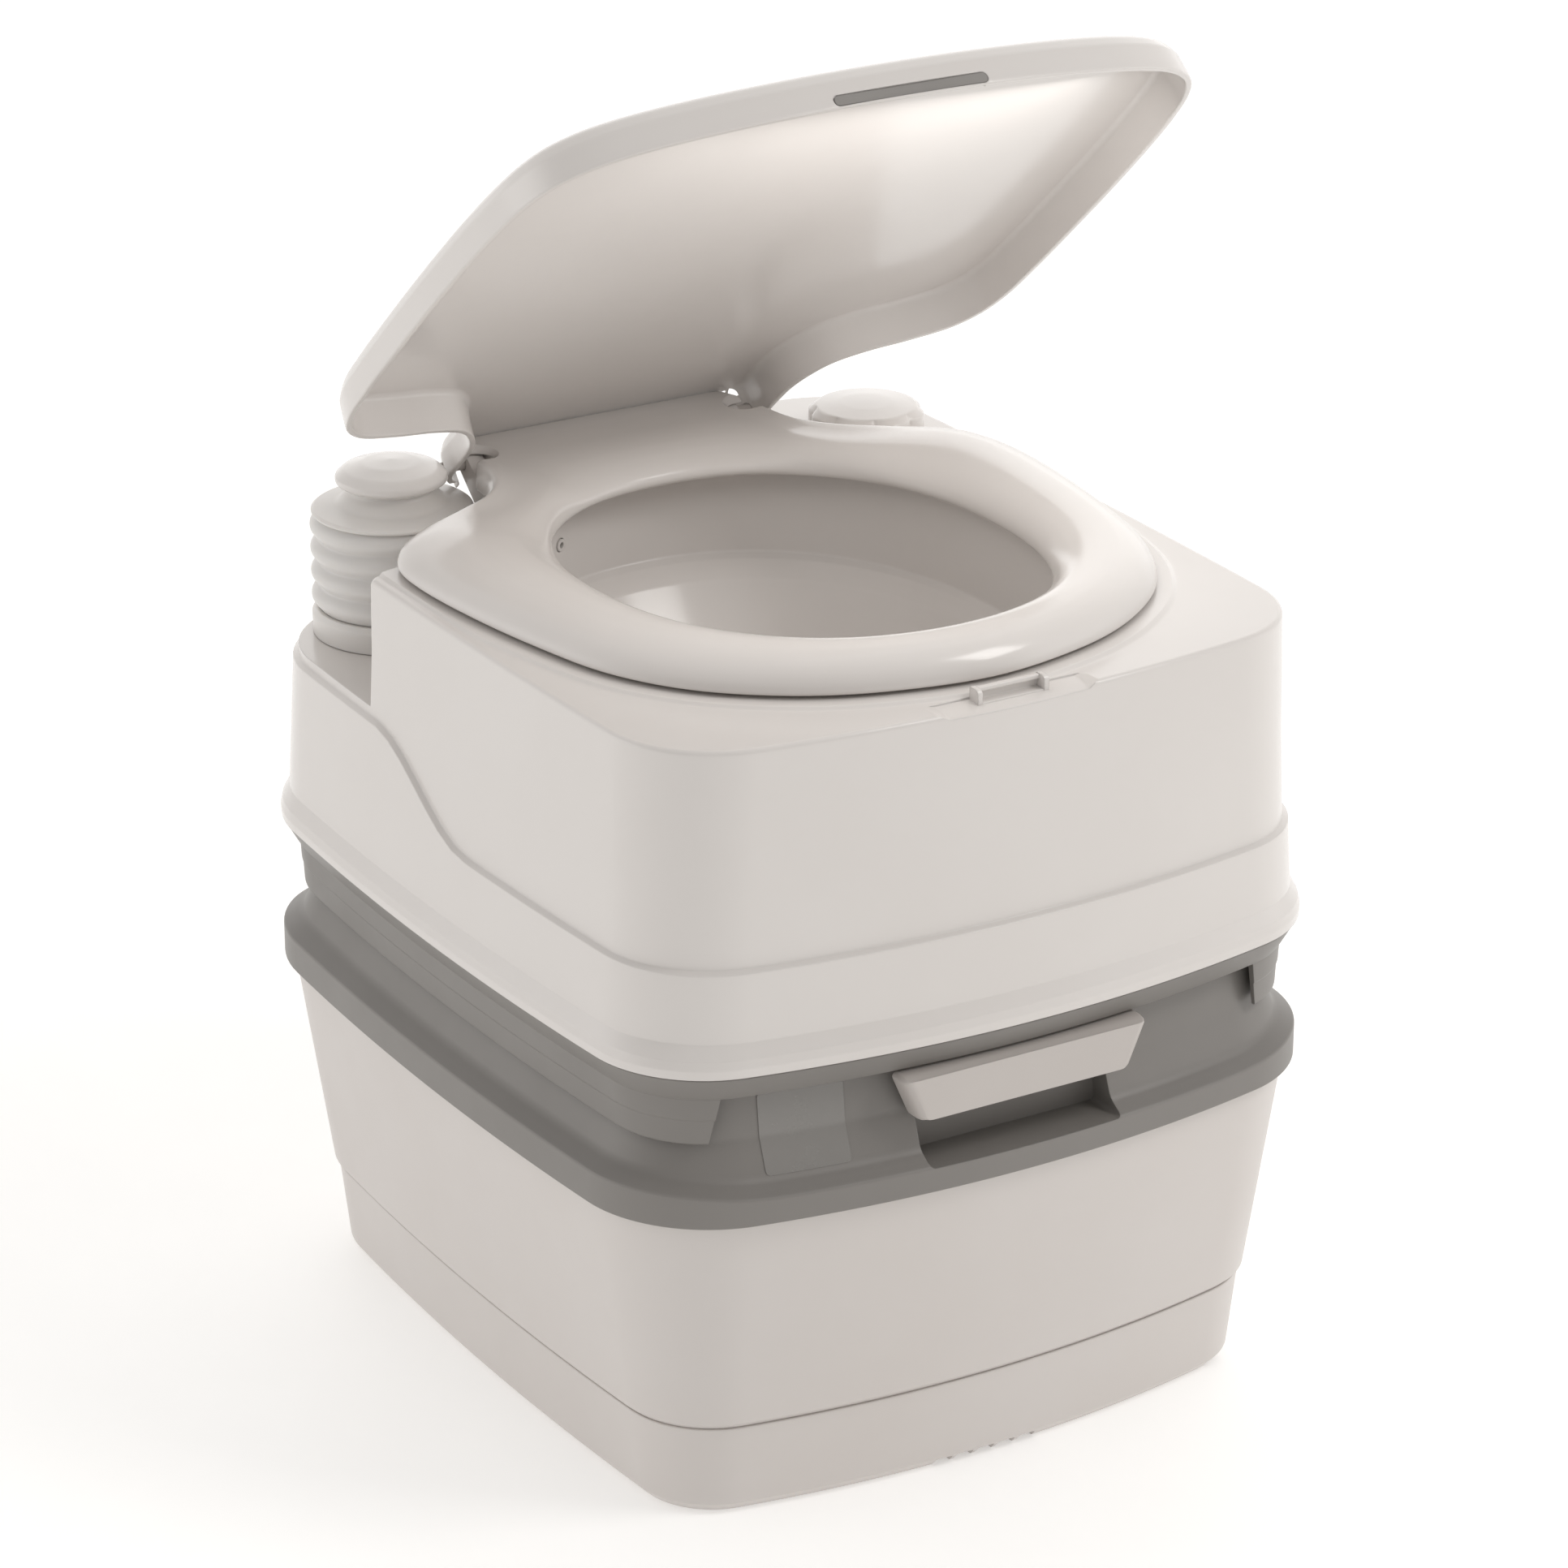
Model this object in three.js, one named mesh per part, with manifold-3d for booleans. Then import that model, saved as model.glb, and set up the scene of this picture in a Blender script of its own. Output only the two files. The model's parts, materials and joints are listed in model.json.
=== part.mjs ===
// Portable two-tank toilet: a fresh-water section with bowl, seat, lid and bellows pump
// sits on a detachable waste tank with a sliding valve, a swivelling spout and an air vent.
// Millimetres, +Z up, -Y is the front with the valve handle, origin at the centre of the base.
import * as THREE from 'three';
import { LoftGeometry } from 'three/addons/geometries/LoftGeometry.js';
import { mergeVertices } from 'three/addons/utils/BufferGeometryUtils.js';
import loadManifold from 'manifold-3d';

const wasm = await loadManifold();
wasm.setup();

// ---------------------------------------------------------------- driving dimensions
const WALL = 2.4;
const GAP = 0.3;
const SEAM_Z = 161.6; // weld between the white tub and the grey tank top
const TANK_TOP_Z = 222;
const LIP_Z = 235.3; // lower edge of the white upper shell
const WAIST_Z = 284;
const DECK_Z = 388;
const SHELF_Z = 324;
const NOTCH_Z = 362;
const BRIDGE_Y = 150;

const SEAT_BOTTOM_Z = 391.3;
const SEAT_TOP_Z = 409;
const HINGE = { y: 170, z: 398 };
const LID_OPEN_DEG = 41.3;
const LID_RIM_Z = 390.3;
const LID_TOP_Z = 414;

const VALVE = { y: -15, bore: 52, hole: 57.6 };
const BLADE = { halfWidth: 58, thickness: 3, z: 210, back: 50, front: -219 };
const PUMP = { x: -121, y: 161, radius: 40.4, bellowsBottom: 337.8, bellowsTop: 385.2 };
const FILL = { x: 132, y: 132, radius: 30 };
const SPOUT = { x: 115, y: 165, z: 199, outer: 19, inner: 16.3, end: 20 };
const VENT = { x: -110, y: 165 };
const NOZZLE = { x: -50, y: 120.6, z: 366, turnDeg: 25.8 };
const LATCH = { x: -95, y: 218.2, turn: THREE.MathUtils.degToRad(8.23), pivotV: -8.2, pivotZ: 229 };
const POCKET = { x0: -60, x1: 150, y: 130, z: 172 };

// Plan outlines: half width, front and back reach, corner radii, and how far each side bows out.
const PLAN_FOOT = { w: 168.2, front: 197.5, back: 197.5, rf: 41, rb: 55, bowF: 22, bowB: 22, bowS: 10 };
const PLAN_FLANGE = { w: 195.6, front: 225, back: 225, rf: 67, rb: 78, bowF: 29, bowB: 29, bowS: 13 };
const PLAN_LIP = { w: 194, front: 225, back: 225, rf: 60, rb: 74, bowF: 29, bowB: 29, bowS: 13 };
const PLAN_WALL = { w: 189.2, front: 220.6, back: 220.4, rf: 58, rb: 70, bowF: 27, bowB: 27, bowS: 12 };
const PLAN_DECK = { w: 178, front: 211.6, back: 210, rf: 54, rb: 60, bowF: 19, bowB: 19, bowS: 5 };

// ---------------------------------------------------------------- solids from geometry
function solid(geometry) {
  const bare = new THREE.BufferGeometry();
  bare.setAttribute('position', geometry.attributes.position);
  bare.setIndex(geometry.index);
  const merged = mergeVertices(bare, 1e-4);
  const index = merged.index.array;
  const position = merged.attributes.position.array;
  const triangles = [];
  let volume = 0;
  for (let i = 0; i < index.length; i += 3) {
    const [a, b, c] = [index[i], index[i + 1], index[i + 2]];
    if (a === b || b === c || c === a) continue;
    triangles.push(a, b, c);
    const [p, q, r] = [a, b, c].map((k) => new THREE.Vector3().fromArray(position, k * 3));
    volume += p.dot(q.cross(r));
  }
  if (volume < 0) triangles.reverse();
  return new wasm.Manifold(new wasm.Mesh({
    numProp: 3,
    vertProperties: Float32Array.from(position),
    triVerts: Uint32Array.from(triangles),
  }));
}

function cut(body, ...tools) {
  return tools.reduce((left, tool) => left.subtract(tool), body);
}

function join(body, ...others) {
  return others.reduce((left, other) => left.add(other), body);
}

function box(x0, x1, y0, y1, z0, z1) {
  const geometry = new THREE.BoxGeometry(x1 - x0, y1 - y0, z1 - z0);
  geometry.translate((x0 + x1) / 2, (y0 + y1) / 2, (z0 + z1) / 2);
  return solid(geometry);
}

function cylinder(radius, z0, z1, x = 0, y = 0, sides = 24) {
  const geometry = new THREE.CylinderGeometry(radius, radius, z1 - z0, sides);
  geometry.rotateX(Math.PI / 2);
  geometry.translate(x, y, (z0 + z1) / 2);
  return solid(geometry);
}

function cylinderAlongX(radius, x0, x1, y, z, sides = 16) {
  const geometry = new THREE.CylinderGeometry(radius, radius, x1 - x0, sides);
  geometry.rotateZ(Math.PI / 2);
  geometry.translate((x0 + x1) / 2, y, z);
  return solid(geometry);
}

// A closed [radius, height] profile turned about a vertical axis.
function turned(profile, x = 0, y = 0, sides = 28) {
  const points = profile.map(([r, z]) => new THREE.Vector2(r, z));
  const closed = profile[0][0] > 0 ? [...points, points[0]] : points;
  const geometry = new THREE.LatheGeometry(closed, sides);
  geometry.rotateX(Math.PI / 2);
  geometry.translate(x, y, 0);
  return solid(geometry);
}

function ring(inner, outer, z0, z1, x = 0, y = 0, sides = 28) {
  return turned([[inner, z0], [outer, z0], [outer, z1], [inner, z1]], x, y, sides);
}

// A flat [x, y] polygon raised from z0 to z1.
function prism(points, z0, z1) {
  const shape = new THREE.Shape(points.map(([x, y]) => new THREE.Vector2(x, y)));
  const geometry = new THREE.ExtrudeGeometry(shape, { depth: z1 - z0, bevelEnabled: false });
  geometry.translate(0, 0, z0);
  return solid(geometry);
}

// An [x, z] polygon drawn in the front view and carried from y0 to y1.
function prismAlongY(points, y0, y1) {
  const shape = new THREE.Shape(points.map(([x, z]) => new THREE.Vector2(x, z)));
  const geometry = new THREE.ExtrudeGeometry(shape, { depth: y1 - y0, bevelEnabled: false });
  geometry.rotateX(Math.PI / 2);
  geometry.translate(0, y1, 0);
  return solid(geometry);
}

// A [y, z] polygon drawn in the side view and carried from x0 to x1.
function prismAlongX(points, x0, x1) {
  const shape = new THREE.Shape(points.map(([y, z]) => new THREE.Vector2(y, z)));
  const geometry = new THREE.ExtrudeGeometry(shape, { depth: x1 - x0, bevelEnabled: false });
  geometry.applyMatrix4(new THREE.Matrix4().makeBasis(
    new THREE.Vector3(0, 1, 0), new THREE.Vector3(0, 0, 1), new THREE.Vector3(1, 0, 0)));
  geometry.translate(x0, 0, 0);
  return solid(geometry);
}

// A rod or tube of round section along a smooth path.
function tube(points, outer, inner, steps, sides = 12) {
  const section = new THREE.Shape();
  section.absarc(0, 0, outer, 0, Math.PI * 2, false);
  if (inner > 0) {
    const bore = new THREE.Path();
    bore.absarc(0, 0, inner, 0, Math.PI * 2, true);
    section.holes.push(bore);
  }
  const path = new THREE.CatmullRomCurve3(points.map((p) => new THREE.Vector3(...p)), false, 'centripetal');
  return solid(new THREE.ExtrudeGeometry(section, { steps, extrudePath: path, curveSegments: sides / 2 }));
}

function helix(radius, wire, z0, z1, turns, x, y) {
  const points = [];
  const perTurn = 8;
  for (let i = 0; i <= turns * perTurn; i += 1) {
    const angle = (i / perTurn) * Math.PI * 2;
    const z = z0 + wire + ((z1 - z0 - 2 * wire) * i) / (turns * perTurn);
    points.push([x + radius * Math.cos(angle), y + radius * Math.sin(angle), z]);
  }
  return tube(points, wire, 0, turns * perTurn, 6);
}

function loft(sections) {
  return solid(new LoftGeometry(sections, { capStart: true, capEnd: true }));
}

// ---------------------------------------------------------------- plan outlines
function arcRadius(half, bow) {
  return (half * half + bow * bow) / (2 * bow);
}

function circlesMeet(a, ra, b, rb) {
  const gap = b.clone().sub(a);
  const distance = gap.length();
  const along = (ra * ra - rb * rb + distance * distance) / (2 * distance);
  const aside = Math.sqrt(Math.max(ra * ra - along * along, 0));
  const unit = gap.divideScalar(distance);
  const foot = a.clone().addScaledVector(unit, along);
  const normal = new THREE.Vector2(-unit.y, unit.x);
  const first = foot.clone().addScaledVector(normal, aside);
  const second = foot.clone().addScaledVector(normal, -aside);
  return first.x > second.x ? first : second;
}

function arcPoints(centre, radius, from, to, count) {
  const points = [];
  for (let i = 0; i < count; i += 1) {
    const angle = from + ((to - from) * i) / count;
    points.push([centre.x + radius * Math.cos(angle), centre.y + radius * Math.sin(angle)]);
  }
  return points;
}

function mirrored(half) {
  const left = half.filter(([x]) => x > 1e-6).map(([x, y]) => [-x, y]).reverse();
  return [...half, ...left];
}

// Four shallow arcs joined by corner arcs, drawn in by the inset.
function planOutline(plan, inset = 0) {
  const { w, front, back, rf, rb, bowF, bowB, bowS } = plan;
  const radiusF = arcRadius(w, bowF);
  const radiusB = arcRadius(w, bowB);
  const radiusS = arcRadius((front + back) / 2, bowS);
  const centreF = new THREE.Vector2(0, -front + radiusF);
  const centreB = new THREE.Vector2(0, back - radiusB);
  const centreS = new THREE.Vector2(w - radiusS, (back - front) / 2);
  const cornerF = circlesMeet(centreF, radiusF - rf, centreS, radiusS - rf);
  const cornerB = circlesMeet(centreS, radiusS - rb, centreB, radiusB - rb);
  const toward = (from, to) => Math.atan2(to.y - from.y, to.x - from.x);
  const turnF = toward(centreF, cornerF);
  const turnSF = toward(centreS, cornerF);
  const turnSB = toward(centreS, cornerB);
  const turnB = toward(centreB, cornerB);
  return mirrored([
    ...arcPoints(centreF, radiusF - inset, -Math.PI / 2, turnF, 3),
    ...arcPoints(cornerF, rf - inset, turnF, turnSF, 6),
    ...arcPoints(centreS, radiusS - inset, turnSF, turnSB, 4),
    ...arcPoints(cornerB, rb - inset, turnSB, turnB, 5),
    ...arcPoints(centreB, radiusB - inset, turnB, Math.PI / 2, 3),
    [0, back - inset],
  ]);
}

function planBetween(a, b, t) {
  return Object.fromEntries(Object.keys(a).map((key) => [key, a[key] + (b[key] - a[key]) * t]));
}

function lift(points, z) {
  return points.map(([x, y]) => new THREE.Vector3(x, y, z));
}

function planLoft(levels) {
  return loft(levels.map(([z, plan, inset]) => lift(planOutline(plan, inset), z)));
}

function smoothOutline(rightHalf, perSpan = 2) {
  const controls = mirrored(rightHalf).map(([x, y]) => new THREE.Vector3(x, y, 0));
  const curve = new THREE.CatmullRomCurve3(controls, true, 'centripetal');
  return curve.getPoints(controls.length * perSpan).slice(0, -1).map((p) => [p.x, p.y]);
}

// Moves each point of a counterclockwise outline inwards along its normal.
function insetOutline(points, distance) {
  return points.map(([x, y], i) => {
    const [px, py] = points[(i + points.length - 1) % points.length];
    const [nx, ny] = points[(i + 1) % points.length];
    const length = Math.hypot(nx - px, ny - py);
    return [x - ((ny - py) / length) * distance, y + ((nx - px) / length) * distance];
  });
}

function ovalAt(angle, rx, ry) {
  const power = 2.2;
  const c = Math.abs(Math.cos(angle) / rx) ** power;
  const s = Math.abs(Math.sin(angle) / ry) ** power;
  const radius = (c + s) ** (-1 / power);
  return [radius * Math.cos(angle), radius * Math.sin(angle)];
}

function oval(cy, rx, ry, z, count = 36) {
  const points = [];
  for (let i = 0; i < count; i += 1) {
    const [x, y] = ovalAt((i / count) * Math.PI * 2, rx, ry);
    points.push(new THREE.Vector3(x, cy + y, z));
  }
  return points;
}

// ---------------------------------------------------------------- materials
const paint = (color, roughness) => new THREE.MeshStandardMaterial({ color, roughness, metalness: 0 });
const steelLook = { color: 0xb8bcc0, roughness: 0.35, metalness: 0.9 };
const MATERIAL = {
  white: paint(0xe6e2dd, 0.32),
  tub: paint(0xdcd7d2, 0.42),
  grey: paint(0x8b8680, 0.5),
  handle: paint(0xc6bfb9, 0.45),
  bellows: paint(0xe9e5e0, 0.45),
  valve: paint(0x55524e, 0.4),
  rubber: paint(0x2b2a29, 0.75),
  clear: paint(0xa7a29c, 0.3),
  steel: new THREE.MeshStandardMaterial(steelLook),
};

function part(name, manifold, material, parent) {
  const { vertProperties, triVerts } = manifold.getMesh();
  const geometry = new THREE.BufferGeometry();
  geometry.setAttribute('position', new THREE.BufferAttribute(new Float32Array(vertProperties), 3));
  geometry.setIndex(Array.from(triVerts));
  geometry.computeVertexNormals();
  const mesh = new THREE.Mesh(geometry, MATERIAL[material]);
  mesh.name = name;
  parent.add(mesh);
}

// ---------------------------------------------------------------- waste tank
function wasteTub() {
  const outer = planLoft([
    [0, PLAN_FOOT, 4],
    [4, PLAN_FOOT, 0],
    [50, planBetween(PLAN_FOOT, PLAN_FLANGE, 0.16), 0],
    [53, planBetween(PLAN_FOOT, PLAN_FLANGE, 0.25), 0],
    [SEAM_Z - GAP, PLAN_FLANGE, 5],
  ]);
  const inner = planLoft([
    [WALL, PLAN_FOOT, 4 + WALL],
    [50, planBetween(PLAN_FOOT, PLAN_FLANGE, 0.16), WALL],
    [SEAM_Z + 5, PLAN_FLANGE, 5 + WALL],
  ]);
  const gripNotch = prism([[-32, -215], [28, -215], [22, -184], [-26, -184]], -5, 5);
  const gripWall = prism([[-36, -220], [32, -220], [26, -180], [-30, -180]], -6, 5 + WALL);
  return cut(outer, cut(inner, gripWall), gripNotch);
}

// Outer skin of the grey tank top, drawn in evenly by extra.
function tankTopSkin(extra, top) {
  return planLoft([
    [SEAM_Z, PLAN_FLANGE, extra],
    [171, PLAN_FLANGE, extra],
    [176, PLAN_FLANGE, 3 + extra],
    [181, PLAN_FLANGE, 10 + extra],
    [197, PLAN_FLANGE, 16 + extra],
    [top, PLAN_FLANGE, 19 + extra],
  ]);
}

const WINDOW = { x0: -130, x1: -88, z0: 183.5, z1: 217 };

function windowBlock(margin) {
  return box(WINDOW.x0 + margin, WINDOW.x1 - margin, -230, -170, WINDOW.z0 + margin, WINDOW.z1 - margin);
}

function toLatchPlace(manifold) {
  const degrees = THREE.MathUtils.radToDeg(LATCH.turn);
  return manifold.rotate([0, 0, degrees]).translate([LATCH.x, LATCH.y, 0]);
}

function wasteTop() {
  const fingerWell = (grow) => box(-52 - grow, 52 + grow, -240, -199 + grow, 173.5 - grow, 205 + grow);
  const pocketEdge = POCKET.y;
  const spoutPocket = (grow) => box(
    POCKET.x0 - grow, POCKET.x1 + grow, pocketEdge - grow, 240, POCKET.z - grow, TANK_TOP_Z + 5);
  const ventWell = (grow) => cylinder(12 + grow, 214 - grow, TANK_TOP_Z + 5, VENT.x, VENT.y, 20);
  const cavity = cut(
    planLoft([
      [SEAM_Z - 5, PLAN_FLANGE, 9],
      [176, PLAN_FLANGE, 11],
      [181, PLAN_FLANGE, 14],
      [197, PLAN_FLANGE, 19],
      [TANK_TOP_Z - WALL, PLAN_FLANGE, 22],
    ]),
    fingerWell(WALL),
    spoutPocket(WALL),
    ventWell(WALL),
  );
  const catchBlock = toLatchPlace(box(-17, 17, -20, -12.2, 198, 203));
  const windowRecess = cut(windowBlock(0), tankTopSkin(1.3, TANK_TOP_Z + 5));
  return cut(
    join(cut(tankTopSkin(0, TANK_TOP_Z), cavity), catchBlock),
    fingerWell(0),
    spoutPocket(0),
    ventWell(0),
    windowRecess,
    cylinder(VALVE.hole + GAP, 215, TANK_TOP_Z + 5, 0, VALVE.y, 36),
    box(-BLADE.halfWidth - 1, BLADE.halfWidth + 1, -230, -180, 208.7, 214.5),
    cylinder(SPOUT.outer + 0.4, 160, 175, SPOUT.x, SPOUT.y, 24),
    cylinder(4.5, 205, 216, VENT.x, VENT.y, 12),
  );
}

function levelWindow() {
  const band = cut(tankTopSkin(0.3, TANK_TOP_Z), tankTopSkin(1.0, TANK_TOP_Z + 5));
  return band.intersect(windowBlock(0.4));
}

const SCREW_PLACES = [[-66, -150], [66, -150], [-66, 45], [66, 45]];
const FRAME = { halfWidth: 72, railInner: 58.8, y0: -190, y1: 62, z0: 204, floorZ: 209.6, z1: 218.6 };

function valveFrame() {
  const block = box(-FRAME.halfWidth, FRAME.halfWidth, FRAME.y0, FRAME.y1, FRAME.z0, FRAME.z1);
  const channel = box(-FRAME.railInner, FRAME.railInner, FRAME.y0 - 5, BLADE.back + 1, FRAME.floorZ, 225);
  const bore = cylinder(VALVE.bore, 200, 225, 0, VALVE.y, 32);
  const screwHoles = SCREW_PLACES.map(([x, y]) => cylinder(2, 200, 225, x, y, 10));
  return cut(block, channel, bore, ...screwHoles);
}

function valveScrew(x, y) {
  return turned([[0, 200.9], [3.6, 200.9], [4, 203.7], [1.6, 203.7], [1.6, 218.3], [0, 218.3]], x, y, 10);
}

function valveBlade() {
  const width = BLADE.halfWidth;
  const outline = [[-width, BLADE.front], [width, BLADE.front], [width, BLADE.back - 12],
    [width - 12, BLADE.back], [12 - width, BLADE.back], [-width, BLADE.back - 12]];
  return prism(outline, BLADE.z, BLADE.z + BLADE.thickness);
}

function valveHandle() {
  const face = [[-56, 197], [56, 197], [59, 199], [67, 219.5], [65.5, 221],
    [-65.5, 221], [-67, 219.5], [-59, 199]];
  const bar = prismAlongY(face, -223, -211);
  const bladeSlot = box(-BLADE.halfWidth - GAP, BLADE.halfWidth + GAP, BLADE.front - GAP, -205,
    BLADE.z - GAP, BLADE.z + BLADE.thickness + GAP);
  const nose = prismAlongX([[-224, 196], [-221, 196], [-224, 199]], -70, 70);
  return cut(bar, bladeSlot, nose);
}

function pourSpout() {
  const { x, y, z, outer, inner, end } = SPOUT;
  const path = [[x, y, 162], [x, y, 178], [x - 3, y, 189], [x - 10, y, 196], [x - 21, y, z],
    [x - 50, y, z], [end, y, z]];
  return join(tube(path, outer, inner, 12, 16), ring(inner + 1, 27, POCKET.z + GAP, 176, x, y, 24));
}

const AXIS_X = { y: SPOUT.y, z: SPOUT.z };

// A ring-like [radius, along] profile turned about the spout's outlet axis.
function onOutletAxis(profile, sides) {
  return turned(profile, 0, 0, sides).rotate([0, 90, 0]).translate([0, AXIS_X.y, AXIS_X.z]);
}

function spoutCap() {
  const cup = onOutletAxis([[0, 14], [21, 14], [22.2, 16], [22.2, 38], [19.6, 38], [19.6, 17], [0, 17]], 24);
  const ribs = [0, 1, 2, 3, 4, 5].map((i) => box(-1.6, 1.6, -22.9, -21, 16, 36)
    .rotate([0, 0, i * 60])
    .rotate([0, 90, 0])
    .translate([0, AXIS_X.y, AXIS_X.z]));
  return join(cup, ...ribs);
}

// ---------------------------------------------------------------- fresh-water section
function wallPlan(z) {
  return planBetween(PLAN_WALL, PLAN_DECK, (z - 250) / (DECK_Z - 4 - 250));
}

// Boundary of the low shelf that carries the pump, in plan.
const SHELF_EDGE = [[-240, 76], [-180, 76], [-166, 80], [-146, 85], [-118, 89], [-100, 96], [-89, 108],
  [-82, 124], [-78, 142], [-78, 240], [-240, 240]];

function shelfPocket(grow) {
  const edge = SHELF_EDGE.map(([x, y]) => [x + grow, y - grow]);
  return prism(edge, SHELF_Z - grow, 420);
}

function hingeNotch(grow) {
  return box(-90, 94 + grow, BRIDGE_Y - grow, 240, NOTCH_Z - grow, 420);
}

const SEAT_HALF = [[0, -190], [50, -181.5], [84, -167.5], [115, -145], [133, -124], [148, -95],
  [158.5, -52], [166, -3], [168.8, 40], [166.5, 64], [159.5, 79], [144.5, 88], [121.5, 94], [103, 101],
  [90, 115], [83, 133], [81, 150], [80, 164], [77, 174], [72, 184], [60, 186], [0, 186]];
const SEAT_OUTLINE = smoothOutline(SEAT_HALF, 1);
const SEAT_HOLE = { cy: -22, rx: 109, ry: 130 };
const BOWL = { cy: -15.5, rx: 116.5, ry: 147.5 };
const BUMPER_PLACES = [[-62, -160], [62, -160], [-132, 60], [132, 60]];

function frontScoop(grow) {
  const floor = 384.6 - grow;
  const profile = [[-43 - grow, 392], [-37 - grow, floor], [37 + grow, floor], [43 + grow, 392]];
  return prismAlongY(profile, -230, -198 + grow);
}

function hingeEar(side) {
  const ear = prismAlongX([[148, 376], [BRIDGE_Y + 3, 376], [174, 394.4], [175.4, 398], [173.8, 401.8],
    [170, 403.4], [166, 402.2], [148, 388.5]], 68, 77);
  return side < 0 ? ear.mirror([1, 0, 0]) : ear;
}

function upperShell() {
  const outer = planLoft([
    [LIP_Z + GAP, PLAN_LIP, 0.5],
    [238, PLAN_LIP, 0],
    [243, PLAN_LIP, 0.4],
    [250, PLAN_WALL, 0],
    [WAIST_Z - 1, wallPlan(WAIST_Z), 0],
    [WAIST_Z + 2, wallPlan(WAIST_Z), 2],
    [DECK_Z - 4, PLAN_DECK, 0],
    [DECK_Z - 1, PLAN_DECK, 1.2],
    [DECK_Z, PLAN_DECK, 4],
  ]);
  const seatRest = prism(insetOutline(SEAT_OUTLINE, -6), DECK_Z - 2, SEAT_BOTTOM_Z - 1);
  const cavity = cut(
    planLoft([
      [LIP_Z - 3, PLAN_LIP, WALL + 0.2],
      [243, PLAN_LIP, WALL + 0.4],
      [250, PLAN_WALL, WALL],
      [WAIST_Z + 2, wallPlan(WAIST_Z), WALL + 2],
      [DECK_Z - WALL, PLAN_DECK, WALL + 1],
    ]),
    shelfPocket(WALL),
    hingeNotch(WALL),
    frontScoop(WALL),
  );
  const bowlOpening = loft([
    oval(BOWL.cy, BOWL.rx + WALL + GAP, BOWL.ry + WALL + GAP, DECK_Z - 10),
    oval(BOWL.cy, BOWL.rx + WALL + GAP, BOWL.ry + WALL + GAP, DECK_Z + 10),
  ]);
  const ears = [-1, 1].map(hingeEar);
  const pinBore = cylinderAlongX(3.1, -95, 95, HINGE.y, HINGE.z, 12);
  const body = cut(
    join(outer, seatRest),
    cavity,
    shelfPocket(0),
    hingeNotch(0),
    frontScoop(0),
    bowlOpening,
    cylinder(9.6, SHELF_Z - 10, SHELF_Z + 10, PUMP.x, PUMP.y, 16),
    cylinder(23.4, DECK_Z - 10, DECK_Z + 10, FILL.x, FILL.y, 24),
  );
  return cut(join(body, ...ears), pinBore);
}

// Straight cuts that leave the grey skirt on the two sides and round the corners only.
function skirtOpening(side) {
  const far = side * 240;
  const near = side * 150;
  const ends = [[-148, 230], [-153, 195], [153, 195], [148, 230]];
  return prismAlongY(ends, Math.min(far, near), Math.max(far, near));
}

function upperBase() {
  const tray = planLoft([
    [TANK_TOP_Z + GAP, PLAN_LIP, 8],
    [LIP_Z - 0.1, PLAN_LIP, 1],
  ]);
  const rim = planLoft([[LIP_Z - 3, PLAN_LIP, 3.6], [241, PLAN_LIP, 3.7]]);
  const well = planLoft([[TANK_TOP_Z + GAP + WALL, PLAN_LIP, 12], [245, PLAN_LIP, 7]]);
  const skirtBand = cut(
    planLoft([[199, PLAN_LIP, 10], [TANK_TOP_Z + 2, PLAN_LIP, 8.5]]),
    planLoft([[195, PLAN_LIP, 13], [TANK_TOP_Z + GAP, PLAN_LIP, 12.6]]),
  );
  const skirt = cut(skirtBand, skirtOpening(-1), skirtOpening(1), box(-240, 240, -240, 240, 222.3, 240));
  const latchWell = toLatchPlace(box(-27, 27, -13, 20, 215, 234));
  const latchWellWall = toLatchPlace(box(-32, 32, -16, 10, TANK_TOP_Z + GAP, 236));
  const pinBore = toLatchPlace(cylinderAlongX(2, -34, 34, LATCH.pivotV, LATCH.pivotZ, 10));
  const outletHole = cylinder(62, 215, 232, 0, VALVE.y, 36);
  const shell = cut(join(tray, rim), cut(well, latchWellWall));
  return cut(join(shell, skirt), latchWell, pinBore, outletHole);
}

function bowl() {
  const stub = { cy: VALVE.y };
  const outer = loft([
    oval(stub.cy, 60, 60, 226.3),
    oval(stub.cy, 60, 60, 237),
    oval(stub.cy, 63, 63, 240),
    oval(BOWL.cy, 119, 150, 342),
    oval(BOWL.cy, BOWL.rx + WALL, BOWL.ry + WALL, 378),
    oval(BOWL.cy, 123, 154.5, 380.5),
    oval(BOWL.cy, 123, 154.5, DECK_Z - WALL - GAP),
    oval(BOWL.cy, BOWL.rx + WALL, BOWL.ry + WALL, DECK_Z - WALL - GAP),
    oval(BOWL.cy, BOWL.rx + WALL, BOWL.ry + WALL, DECK_Z + 1),
  ]);
  const inner = loft([
    oval(stub.cy, VALVE.bore, VALVE.bore, 220),
    oval(stub.cy, VALVE.bore, VALVE.bore, 238),
    oval(BOWL.cy, 115.5, 146.5, 343),
    oval(BOWL.cy, BOWL.rx, BOWL.ry, 380),
    oval(BOWL.cy, BOWL.rx, BOWL.ry, 395),
  ]);
  const outletFlange = ring(58, 72, 228.2, 231, 0, VALVE.y, 36);
  const nozzleHole = toNozzlePlace(cylinder(5.4, -10, 10, 0, 0, 12));
  return cut(join(outer, outletFlange), inner, nozzleHole);
}


// Puts a body drawn about +Z across the bowl wall, its upper end outside the bowl.
function toNozzlePlace(manifold) {
  return manifold.rotate([-90, 0, NOZZLE.turnDeg]).translate([NOZZLE.x, NOZZLE.y, NOZZLE.z]);
}

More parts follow.
